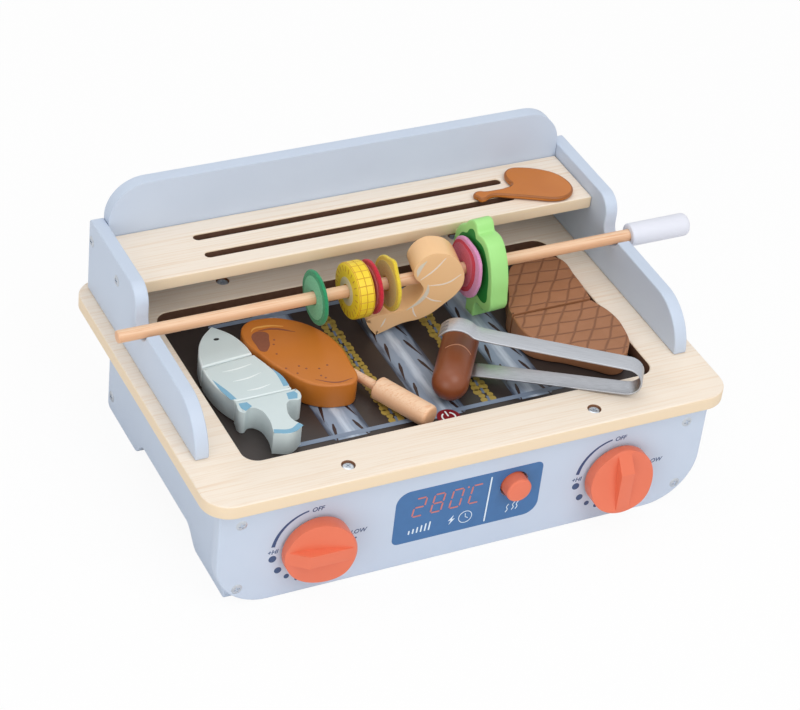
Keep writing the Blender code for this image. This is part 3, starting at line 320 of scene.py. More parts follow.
@dataclass(frozen=True)
class Timber(Finish):
    """Sanded and lacquered wood: fine long grain on the face, warmer where the edge is cut."""

    name: str
    pale: str
    warm: str
    line: str
    edge: str
    grain_length: float = 0.085
    grain_width: float = 0.0016
    line_length: float = 0.03
    line_width: float = 0.0007
    roughness: float = 0.5

    def recipe(self) -> Recipe:
        """Broad streaks and fine dashes along X, and the edge's tone where a face looks sideways.

        Returns:
            The recipe.
        """
        recipe = Recipe(self.name, self.roughness)
        length, width = self.grain_length, self.grain_width
        streak = recipe.add("TexNoise", None, {
            "Vector": recipe.place((length, width, width)), "Scale": 1.0, "Detail": 5.0,
            "Roughness": 0.6, "Distortion": 0.3}).outputs["Fac"]
        pale = srgb(self.pale)
        face = recipe.add("ValToRGB", {"stops": (
            (0.3, srgb(self.warm)), (0.52, pale), (0.75, pale))}, {"Fac": streak})
        dashes = recipe.add("TexNoise", None, {
            "Vector": recipe.place((self.line_length, self.line_width, self.line_width)),
            "Scale": 1.0, "Detail": 2.0})
        mask = recipe.add("ValToRGB", {"stops": ((0.6, NO), (0.74, srgb("#8C8C8C")))}, {
            "Fac": dashes.outputs["Fac"]})
        lined = recipe.add("Mix", RGBA, {
            0: mask.outputs["Color"], 6: face.outputs["Color"], 7: srgb(self.line)})
        normal = recipe.add("NewGeometry").outputs["Normal"]
        split = recipe.add("SeparateXYZ", None, {0: normal})
        flat = recipe.add("Math", {"operation": "ABSOLUTE"}, {0: split.outputs[2]})
        side = recipe.add("ValToRGB", {"stops": ((0.3, YES), (0.8, NO))}, {"Fac": flat.outputs[0]})
        cut = recipe.add("Mix", RGBA, {0: streak, 6: srgb(self.edge), 7: srgb(self.warm)})
        whole = recipe.add("Mix", RGBA, {
            0: side.outputs["Color"], 6: lined.outputs[2], 7: cut.outputs[2]})
        recipe.colour(whole.outputs[2])
        recipe.relief(streak, 0.00004, 0.5)
        return recipe


@dataclass(frozen=True)
class Felt(Finish):
    """Needled polyester felt: matt, with fibres that catch the light and a mottled tone."""

    name: str
    tone: str
    shade: str
    fibre: float = 0.0009

    def recipe(self) -> Recipe:
        """Mottled tone and a fibrous relief, with a little sheen.

        Returns:
            The recipe.
        """
        recipe = Recipe(self.name, 0.95)
        recipe.shader.inputs["Sheen Weight"].default_value = 0.25
        fibres = recipe.add("TexNoise", None, {
            "Vector": recipe.place((self.fibre,) * 3), "Scale": 1.0, "Detail": 4.0,
            "Roughness": 0.7, "Distortion": 1.2}).outputs["Fac"]
        mottle = recipe.add("ValToRGB", {"stops": (
            (0.32, srgb(self.shade)), (0.62, srgb(self.tone)))}, {"Fac": fibres})
        recipe.colour(mottle.outputs["Color"])
        recipe.relief(fibres, 0.0004, 0.8)
        return recipe


@dataclass(frozen=True)
class Brushed(Finish):
    """Steel strap brushed along its length: fine scratches that stretch the highlights."""

    name: str
    tone: str
    shade: str
    turn_deg: float = 0.0
    scratch_length: float = 0.03
    scratch_width: float = 0.0004
    roughness: float = 0.42

    def recipe(self) -> Recipe:
        """Fine scratches in tone, gloss and relief along the strap.

        Returns:
            The recipe.
        """
        recipe = Recipe(self.name, self.roughness, 1.0)
        width = self.scratch_width
        scratches = recipe.add("TexNoise", None, {
            "Vector": recipe.place((self.scratch_length, width, width), self.turn_deg),
            "Scale": 1.0, "Detail": 3.0}).outputs["Fac"]
        tones = recipe.add("Mix", RGBA, {
            0: scratches, 6: srgb(self.tone), 7: srgb(self.shade)})
        recipe.colour(tones.outputs[2])
        rough = recipe.add("ValToRGB", {"stops": (
            (0.3, srgb("#909090")), (0.7, srgb("#BEBEBE")))}, {"Fac": scratches})
        recipe.tree.links.new(rough.outputs["Color"], recipe.shader.inputs["Roughness"])
        recipe.relief(scratches, 0.00001, 0.5)
        return recipe


@dataclass(frozen=True)
class Plated(Paint):
    """Bright zinc plate on pressed steel: smooth and cool, with faint spangle."""

    tone: str = "#D9DEE4"
    shade: str = "#B9C0C9"
    roughness: float = 0.28
    patch: float = 0.0015
    metallic: float = 1.0
    peel_depth: float = 0.0


@dataclass(frozen=True)
class Ink(Paint):
    """Screen-printed ink on paint: flat, thin and a little glossier than the paint."""

    roughness: float = 0.45
    patch: float = 0.0016
    peel_depth: float = 0.0


@dataclass(frozen=True)
class PrintedSheen(Finish):
    """Printed picture of a round steel tube: light along its middle, dark at its sides."""

    name: str
    dark: str = "#3A4456"
    body: str = "#8D9DB2"
    middle: str = "#C5D2E2"
    middle_x: float = 0.0
    width: float = 0.024
    smear: tuple[float, float, float] = (0.003, 0.022, 0.02)

    def recipe(self) -> Recipe:
        """Bands across the tube, broken up along it.

        Returns:
            The recipe.
        """
        recipe = Recipe(self.name, 0.4)
        across = recipe.place((self.width, self.width, self.width), 0.0,
                              (HOME.translation.x + self.middle_x, 0, 0))
        split = recipe.add("SeparateXYZ", None, {0: across})
        away = recipe.add("Math", {"operation": "ABSOLUTE"}, {0: split.outputs[0]})
        smear = recipe.add("TexNoise", None, {
            "Vector": recipe.place(self.smear), "Scale": 1.0, "Detail": 3.0})
        sway = recipe.add("Math", {"operation": "MULTIPLY"}, {0: smear.outputs["Fac"], 1: 0.35})
        spread = recipe.add("Math", {"operation": "ADD"}, {0: away.outputs[0], 1: sway.outputs[0]})
        body = srgb(self.body)
        bands = recipe.add("ValToRGB", {"stops": (
            (0.18, srgb(self.middle)), (0.34, body), (0.5, body), (0.66, srgb(self.dark)))}, {
            "Fac": spread.outputs[0]})
        recipe.colour(bands.outputs["Color"])
        return recipe


@dataclass(frozen=True)
class SearedPaint(Finish):
    """Brown paint over engraved wood: a slanting grid of shallow seared grooves."""

    name: str
    tone: str
    shade: str
    groove: str
    pitch: float = 0.0115
    turns_deg: tuple[float, float] = (-6.0, 52.0)
    bend: float = 0.02
    patch: float = 0.012

    def recipe(self) -> Recipe:
        """Two families of soft grooves that cross, darker and sunk.

        Returns:
            The recipe.
        """
        recipe = Recipe(self.name, 0.55)
        bend = recipe.add("TexNoise", None, {
            "Vector": recipe.place((self.bend,) * 3), "Scale": 1.0, "Detail": 1.0})
        lines = []
        for turn in self.turns_deg:
            split = recipe.add("SeparateXYZ", None, {0: recipe.place((self.pitch,) * 3, turn)})
            sway = recipe.add("Math", {"operation": "MULTIPLY"}, {0: bend.outputs["Fac"], 1: 0.3})
            wavy = recipe.add("Math", {"operation": "ADD"}, {0: split.outputs[1], 1: sway.outputs[0]})
            lines.append(recipe.add("Math", {"operation": "PINGPONG"}, {0: wavy.outputs[0], 1: 0.5}))
        near = recipe.add("Math", {"operation": "MINIMUM"}, {0: lines[0].outputs[0], 1: lines[1].outputs[0]})
        groove = recipe.add("ValToRGB", {"stops": ((0.02, YES), (0.1, NO))}, {"Fac": near.outputs[0]})
        patches = recipe.add("TexNoise", None, {
            "Vector": recipe.place((self.patch,) * 3), "Scale": 1.0, "Detail": 4.0, "Roughness": 0.6})
        body = recipe.add("Mix", RGBA, {
            0: patches.outputs["Fac"], 6: srgb(self.tone), 7: srgb(self.shade)})
        normal = recipe.add("NewGeometry").outputs["Normal"]
        level = recipe.add("SeparateXYZ", None, {0: normal})
        top = recipe.add("ValToRGB", {"stops": ((0.85, NO), (0.97, YES))}, {"Fac": level.outputs[2]})
        mask = recipe.add("Mix", {**RGBA, "blend_type": "MULTIPLY"}, {
            0: 1.0, 6: top.outputs["Color"], 7: groove.outputs["Color"]}).outputs[2]
        whole = recipe.add("Mix", RGBA, {
            0: mask, 6: body.outputs[2], 7: srgb(self.groove)})
        recipe.colour(whole.outputs[2])
        ridge = recipe.add("Math", {"operation": "SUBTRACT"}, {0: 1.0, 1: mask})
        recipe.relief(ridge.outputs[0], 0.0004, 0.7)
        return recipe


PAINT = Paint("satin_blue_grey_paint_on_mdf", "#C9D5E6", "#C3CFE1")
PLY = Timber("sanded_pale_beech_ply", "#F3E6D6", "#EBD6BE", "#D8B993", "#F0D9B2")
# Darker brown of the walls inside the well and the slots: charred cut wood, deepened as painted shade.
CHAR_AND_SHADE = Ink("charred_routed_wood_wall", "#6B4C3A", "#5A3A29", 0.7, 0.004)
BEECH = Timber("lacquered_beech_dowel", "#EDC8A6", "#E0A981", "#C98B62", "#E6B890", 0.05, 0.0012,
               0.012, 0.0005)
CORAL = Paint("satin_coral_paint_on_turned_wood", "#EA7A5C", "#E4714F", 0.42)
WHITE = Paint("satin_white_paint_on_turned_wood", "#E6E8F2", "#DDDFEA", 0.45)
ZINC = Plated("bright_zinc_plated_screw_steel")
# Brown inside the board's countersinks.
COUNTERSINK_BROWN = Ink("brown_countersink_wood", "#8A5B3A", "#5E3A22")
STRAP = Brushed("brushed_stainless_strap", "#C8CBD1", "#A4A7AD", 145.1)
WELL_INK = Ink("printed_dark_burner_ground", "#2B2523", "#3A302D", 0.4, 0.02)
FISH = Paint("satin_pale_fish_paint", "#D6E2E3", "#CBD9DA", 0.42)
# Paler paint on the fish's rounded rims: a painted highlight.
FISH_RIM_HIGHLIGHT = Paint("satin_pale_fish_rim_paint", "#EAF3F3", "#E2EDEE", 0.42)
ROAST = Paint("glossy_roast_brown_paint", "#C77729", "#B9691F", 0.38)
ROAST_RIM = Paint("glossy_roast_rim_paint", "#A35F22", "#93531B", 0.36)
ROAST_DARK = Ink("seared_brown_ink", "#8E5238", "#7C4630")
ROAST_PALE = Ink("pale_glaze_ink", "#E2A95A", "#D9973F")
STEAK = SearedPaint("seared_steak_paint", "#A97453", "#96633F", "#7F5236", 0.0125)
SAUSAGE = Paint("satin_sausage_brown_paint", "#8A4A28", "#7A3E20", 0.38)
SLASH = Ink("pale_slash_ink", "#C58A6A", "#B47755")
BROCCOLI = Paint("satin_leaf_green_paint", "#AAE68D", "#9EDF80", 0.42)
LEAF = Ink("dark_leaf_green_ink", "#218A37", "#1A7A2E")
SHRIMP = Paint("satin_shrimp_orange_paint", "#F6CB98", "#F1C08A", 0.42)
CREAM = Ink("cream_white_ink", "#F6E9DC", "#EFE0D2")
# Pale bluish-white near the shrimp's edges: a painted highlight.
SHRIMP_HIGHLIGHT = Ink("painted_highlight_pale_ink", "#E0DCD2", "#DCCDB8")
CORN = Paint("satin_corn_yellow_paint", "#F3D62F", "#EFCB22", 0.42, 0.006)
CORN_LINE = Ink("ochre_kernel_line_ink", "#D3A21E", "#C9951A")
CORN_TICK = Ink("ochre_brown_tick_ink", "#C98A2A", "#B97820")
CORN_CORE = Ink("pale_cob_ink", "#DDD2AE", "#D2C59C")
GREEN_FELT = Felt("green_needled_felt", "#2E9E6A", "#0B7345")
GREEN_PALE = Felt("pale_green_needled_felt", "#79C79B", "#4DA878")
RED_FELT = Felt("red_needled_felt", "#D42238", "#A80D27")
RED_PALE = Felt("pale_red_needled_felt", "#E58A98", "#CF5B6E")
YELLOW_FELT = Felt("yellow_needled_felt", "#EED63C", "#D6B024")
# Darker straw on the lemon's faces: painted shade.
YELLOW_SHADE_FELT = Felt("painted_shade_straw_felt", "#D8C569", "#BFA64E")
PINK_FELT = Felt("pink_needled_felt", "#E29CC6", "#CC7DAE")
ROSE_FELT = Felt("rose_needled_felt", "#D8637F", "#BE4A68")
CRIMSON_FELT = Felt("crimson_needled_felt", "#D41A42", "#B81234")
DISPLAY = Ink("printed_denim_blue_ink", "#3F72A9", "#3B6A9E", patch=0.006)
DIGITS = Ink("printed_salmon_ink", "#CF7C72", "#C4706A")
MARKS = Ink("printed_ice_white_ink", "#E6F2FA", "#DCEAF6")
LEGEND = Ink("printed_navy_ink", "#3D5680", "#39507A")
BLACK = Ink("printed_black_ink", "#0B0D10", "#15181C")
SEA = Ink("printed_sea_blue_ink", "#7FB2CC", "#76A8C4")
GLEAM = Ink("printed_white_gleam_ink", "#F2F8F8", "#E9F2F2")
EMBER = Ink("printed_ember_gold_ink", "#B59C4C", "#96803A")
STEEL_DASH = Ink("printed_steel_blue_ink", "#76869C", "#5C6B82")
POWER = Ink("printed_deep_red_ink", "#8A1220", "#7A0E1C")
SLATE = Ink("printed_slate_ink", "#8796AB", "#75849A", patch=0.01)
SOOT = Ink("printed_soot_brown_ink", "#2A1A1A", "#35221F", patch=0.003)
NYLON = Paint("moulded_natural_nylon", "#E4E2DA", "#DAD8D0", 0.5)


# Drawing and modelling


def arc(middle: Point, radius: float, start_deg: float, end_deg: float,
        step_deg: float = 6.0) -> list[Point]:
    """Points of an arc from one angle to another.

    Args:
        middle: Its centre.
        radius: Its radius.
        start_deg, end_deg: Where it starts and ends.
        step_deg: About how far apart its points are.

    Returns:
        The points in order.
    """
    count = max(2, round(abs(end_deg - start_deg) / step_deg))
    points = []
    for step in range(count + 1):
        angle = math.radians(start_deg + (end_deg - start_deg) * step / count)
        points.append((middle[0] + radius * math.cos(angle), middle[1] + radius * math.sin(angle)))
    return points


def circle(middle: Point, radius: float, steps: int = 48) -> list[Point]:
    """A closed round outline."""
    return arc(middle, radius, 0, 360 - 360 / steps, 360 / steps)


def round_box(left: float, right: float, bottom: float, top: float, corners: Sequence[float]) -> list[Point]:
    """A rectangle with round corners.

    Args:
        left, right, bottom, top: Its sides.
        corners: Radii of its bottom right, top right, top left and bottom left corners.

    Returns:
        The outline, anticlockwise from its bottom right corner.
    """
    middles = ((right, bottom, -1, 1), (right, top, -1, -1), (left, top, 1, -1), (left, bottom, 1, 1))
    points: list[Point] = []
    for index, (radius, (across, along, inward, upward)) in enumerate(zip(corners, middles)):
        start = -90 + 90 * index
        points += arc((across + inward * radius, along + upward * radius), radius, start, start + 90)
    return points


def s_curve(start: float, end: float, low: float, high: float, count: int = 14) -> list[Point]:
    """A smooth step from one height to another.

    Args:
        start, end: Where it starts and ends.
        low, high: The heights there.
        count: How many steps it has.

    Returns:
        The points in order.
    """
    points = []
    for step in range(count + 1):
        share = step / count
        rise = (1 - math.cos(math.pi * share)) / 2
        points.append((start + (end - start) * share, low + (high - low) * rise))
    return points


def scaled(shares: Sequence[Point], width: float, length: float, place: Point = (0, 0)) -> list[Point]:
    """Outline points from thousandths of a width and a length, about a place."""
    return [(place[0] + across / 1000 * width, place[1] + along / 1000 * length) for across, along in shares]


def through(points: Sequence[Point], sharp: Sequence[int] = (), closed: bool = True,
            steps: int = 8) -> list[Point]:
    """A smooth line through points.

    Args:
        points: What it passes through.
        sharp: Indices of the points where it turns sharply.
        closed: Whether its end joins its start.
        steps: How many pieces lie between two points.

    Returns:
        The finer line.
    """
    curve = bpy.data.curves.new("line", "CURVE")
    curve.resolution_u = steps
    curve.dimensions = "2D"
    curve.fill_mode = "NONE"
    spline = curve.splines.new("BEZIER")
    spline.bezier_points.add(len(points) - 1)
    for index, (knot, (across, along)) in enumerate(zip(spline.bezier_points, points)):
        knot.co = (across, along, 0)
        kind = "VECTOR" if index in sharp else "AUTO"
        knot.handle_left_type = kind
        knot.handle_right_type = kind
    spline.use_cyclic_u = closed
    work = mesh_of(curve)
    line = [(vert.co.x, vert.co.y) for vert in work.verts]
    work.free()
    return line


def mesh_of(data: bpy.types.ID) -> BMesh:
    """The finished mesh of a curve or text, which is removed."""
    thing = bpy.data.objects.new("pattern", data)
    bpy.context.scene.collection.objects.link(thing)
    return evaluated(thing)


def evaluated(thing: Object) -> BMesh:
    """The mesh that an object's modifiers leave, and the object removed.

    Args:
        thing: The object, which is removed.

    Returns:
        Its finished mesh.
    """
    bpy.context.view_layer.update()
    graph = bpy.context.evaluated_depsgraph_get()
    mesh = bpy.data.meshes.new_from_object(thing.evaluated_get(graph))
    bpy.data.objects.remove(thing, do_unlink=True)
    work = bmesh.new()
    work.from_mesh(mesh)
    bpy.data.meshes.remove(mesh)
    return work


def as_object(name: str, work: BMesh) -> Object:
    """A plain object of a bmesh, which is freed.

    Args:
        name: The object's name.
        work: Its mesh, which is freed.

    Returns:
        The object, linked to the scene.
    """
    mesh = bpy.data.meshes.new(name)
    work.to_mesh(mesh)
    work.free()
    thing = bpy.data.objects.new(name, mesh)
    bpy.context.scene.collection.objects.link(thing)
    return thing


def tidy(work: BMesh) -> BMesh:
    """Merge doubles and point the faces outwards.

    Args:
        work: The mesh.

    Returns:
        The same mesh.
    """
    bmesh.ops.remove_doubles(work, verts=work.verts, dist=WELD)
    bmesh.ops.dissolve_degenerate(work, edges=work.edges, dist=WELD)
    bmesh.ops.recalc_face_normals(work, faces=work.faces)
    return work


def thicken(work: BMesh, thick: float) -> None:
    """Raise flat faces into a solid.

    Args:
        work: The flat faces.
        thick: How thick the solid is, upwards.
    """
    grown = bmesh.ops.extrude_face_region(work, geom=work.faces[:])
    lifted = [item for item in grown["geom"] if isinstance(item, BMVert)]
    bmesh.ops.translate(work, vec=(0, 0, thick), verts=lifted)
    bmesh.ops.recalc_face_normals(work, faces=work.faces)


def plate(loops: Sequence[Sequence[Point]], thick: float, rounding: float = 0.0, segments: int = 4,
          rim: int = -1) -> BMesh:
    """A flat plate about its middle plane, with rounded edges.

    Args:
        loops: Its outline, then the outlines of its holes.
        thick: How thick it is along Z.
        rounding: Radius of its edges; zero leaves them crisp.
        segments: Steps across an edge's rounding.
        rim: Index of the finish of its rounded edges; -1 leaves them as their neighbours.

    Returns:
        The plate.
    """
    work = bmesh.new()
    for loop in loops:
        verts = [work.verts.new((across, along, -thick / 2)) for across, along in loop]
        for first, second in zip(verts, verts[1:] + verts[:1]):
            work.edges.new((first, second))
    if len(loops) == 1:
        work.faces.new(verts)
    else:
        bmesh.ops.triangle_fill(work, use_beauty=True, use_dissolve=False, edges=work.edges[:])
        bmesh.ops.dissolve_limit(work, angle_limit=math.radians(0.5), verts=work.verts[:],
                                 edges=[edge for edge in work.edges if not edge.is_boundary])
    thicken(work, thick)
    if rounding > 0:
        round_rims(work, rounding, segments, rim)
    return work


def round_rims(work: BMesh, rounding: float, segments: int, rim: int) -> None:
    """Round a plate's rims and upright corners, with a holding line on its faces.

    Args:
        work: The plate.
        rounding: Radius of its edges.
        segments: Steps across the rounding.
        rim: Index of the finish of the rounding.
    """
    caps = [face for face in work.faces if abs(face.normal.z) > FLAT_LIMIT]
    bmesh.ops.inset_region(work, faces=caps, thickness=rounding * HOLD, use_even_offset=True,
                           use_boundary=True)
    sharp = [edge for edge in work.edges if len(edge.link_faces) == 2
             and edge.calc_face_angle(0.0) > SMOOTH_ANGLE]
    bmesh.ops.bevel(work, geom=sharp, offset=rounding, offset_type="OFFSET", segments=segments,
                    profile=0.5, affect="EDGES", clamp_overlap=True, material=rim)


def char_and_shade_walls(work: BMesh, left: float, right: float, front: float, back: float) -> None:
    """Give the upright walls inside an opening's box the second finish, a darker brown of charred wood and
    painted shade.

    Args:
        work: The board.
        left, right, front, back: Sides of the box round the opening.
    """
    work.normal_update()
    for face in work.faces:
        spot = face.calc_center_median()
        if abs(face.normal.z) < WALL_LIMIT and left < spot.x < right and front < spot.y < back:
            face.material_index = 1


def lathe(profile: Sequence[Point], steps: int = 64) -> BMesh:
    """A turned shape about Z of a profile of radius and height.

    Args:
        profile: Radius and height of its points.
        steps: Facets round it.

    Returns:
        The closed shape.
    """
    work = bmesh.new()
    verts = [work.verts.new((radius, 0, height)) for radius, height in profile]
    edges = [work.edges.new(pair) for pair in zip(verts, verts[1:])]
    bmesh.ops.spin(work, geom=verts + edges, cent=(0, 0, 0), axis=(0, 0, 1), dvec=(0, 0, 0),
                   angle=2 * math.pi, steps=steps, use_merge=True)
    return tidy(work)


def moved(work: BMesh, matrix: Matrix) -> BMesh:
    """A bmesh moved by a matrix."""
    bmesh.ops.transform(work, matrix=matrix, verts=work.verts)
    return work


def joined(*works: BMesh) -> BMesh:
    """Several bmeshes as one; each is freed.

    Args:
        works: The meshes.

    Returns:
        One mesh.
    """
    whole = bmesh.new()
    for work in works:
        mesh = bpy.data.meshes.new("share")
        work.to_mesh(mesh)
        work.free()
        whole.from_mesh(mesh)
        bpy.data.meshes.remove(mesh)
    return whole


def carve(name: str, work: BMesh, cutters: Sequence[BMesh], edge: float) -> BMesh:
    """Cut shapes out of a bmesh and soften the new edges.

    Args:
        name: Name of the blank while it is cut.
        work: The blank, which is freed.
        cutters: What is cut out of it.
        edge: Width of the soft edges.

    Returns:
        The cut shape.
    """
    thing = as_object(name, work)
    tools = [as_object(f"{name}_tool_{index}", cutter) for index, cutter in enumerate(cutters)]
    for index, tool in enumerate(tools):
        boolean = thing.modifiers.new(f"cut_{index}", "BOOLEAN")
        boolean.operation = "DIFFERENCE"
        boolean.solver = "EXACT"
        boolean.object = tool
    bevel = thing.modifiers.new("soften", "BEVEL")
    bevel.width = edge
    bevel.segments = 3
    bevel.limit_method = "ANGLE"
    bevel.angle_limit = math.radians(32)
    result = evaluated(thing)
    for tool in tools:
        bpy.data.objects.remove(tool, do_unlink=True)
    return tidy(result)


def ink_shape(outline: Sequence[Point], low: float = -INK_BITE, high: float = INK_THICK) -> BMesh:
    """A thin flat shape of one outline, between two levels."""
    work = plate((outline,), high - low)
    return moved(work, shift(0, 0, (low + high) / 2))


def both_sides(line: Sequence[Point], widths: Sequence[float]) -> tuple[list[Point], list[Point]]:
    """The two edges of a band along a line.

    Args:
        line: Its middle line.
        widths: Its width at each point.

    Returns:
        The points on its left and those on its right.
    """
    left: list[Point] = []
    right: list[Point] = []
    for index, (point, width) in enumerate(zip(line, widths)):
        before = Vector(line[max(index - 1, 0)])
        after = Vector(line[min(index + 1, len(line) - 1)])
        along = (after - before).normalized()
        left.append((point[0] - along.y * width / 2, point[1] + along.x * width / 2))
        right.append((point[0] + along.y * width / 2, point[1] - along.x * width / 2))
    return left, right


def stroke(points: Sequence[Point], widths: Sequence[float], blunt: bool = False, lift: float = 0.0) -> BMesh:
    """A thin flat stroke along a line, with round ends.

    Args:
        points: The line.
        widths: Its width at each point, or one width for all.
        blunt: Whether its ends are square.
        lift: How far it is raised.

    Returns:
        The stroke.
    """
    sizes = list(widths) * len(points) if len(widths) == 1 else list(widths)
    left, right = both_sides(points, sizes)
    outline = right + left[::-1]
    if not blunt:
        start_turn = math.degrees(math.atan2(left[0][1] - points[0][1], left[0][0] - points[0][0]))
        end_turn = math.degrees(math.atan2(right[-1][1] - points[-1][1], right[-1][0] - points[-1][0]))
        end_cap = arc(points[-1], sizes[-1] / 2, end_turn, end_turn + 180, 30)[1:-1]
        start_cap = arc(points[0], sizes[0] / 2, start_turn, start_turn + 180, 30)[1:-1]
        outline = right + end_cap + left[::-1] + start_cap
    return ink_shape(outline, -INK_BITE + lift, INK_THICK + lift)


def tapered(count: int, most: float, least: float) -> list[float]:
    """Widths of a brush stroke that is widest in its middle."""
    return [most * (least + (1 - least) * math.sin(math.pi * (step + 0.5) / count)) for step in range(count)]


def brushed_line(points: Sequence[Point], most: float, least: float = 0.15, lift: float = 0.0) -> BMesh:
    """A stroke through points that is widest in its middle.

    Args:
        points: What it passes through.
        most: Its width in its middle.
        least: Share of that width at its ends.
        lift: How far it is raised.

    Returns:
        The stroke.
    """
    line = through(points, closed=False)
    return stroke(line, tapered(len(line), most, least), lift=lift)


def lettering(text: str, cap_height: float, lean: float = 0.22) -> BMesh:
    """Plain printed lettering about its own middle.

    Args:
        text: What it says.
        cap_height: Height of its capitals.
        lean: How far it leans.

    Returns:
        The lettering, a little proud of height zero.
    """
    curve = bpy.data.curves.new("letters", "FONT")
    curve.body = text
    curve.size = cap_height / CAPITAL_SHARE
    curve.shear = lean
    curve.offset = LETTER_BOLDER
    curve.align_x = "CENTER"
    curve.align_y = "CENTER"
    curve.resolution_u = 4
    work = mesh_of(curve)
    bmesh.ops.remove_doubles(work, verts=work.verts, dist=WELD)
    thicken(work, INK_THICK + INK_BITE)
    return moved(work, shift(0, 0, -INK_BITE))


def publish(name: str, work: BMesh, finishes: Finish | Sequence[Finish], body: str,
            nodes: Sequence[str] = (), angle: float = SMOOTH_ANGLE) -> Object:
    """Make a piece of a finished shape.

    Args:
        name: The piece's name.
        work: Its shape in the grill's own place.
        finishes: Its finish, or one for each of its material indices.
        body: The body that it rides on.
        nodes: CAD nodes that it stands for.
        angle: Edges that turn more than this stay sharp.

    Returns:
        The object.
    """
    moved(work, HOME)
    thing = as_object(name, work)
    for finish in finishes if isinstance(finishes, (list, tuple)) else (finishes,):
        thing.data.materials.append(finish.material())
    thing.data.shade_smooth()
    thing.data.set_sharp_from_angle(angle=angle)
    if body:
        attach(thing, body)
    if nodes:
        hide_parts(*nodes)
    LOG.info("%s rides on %s", name, body)
    return thing


# Boards


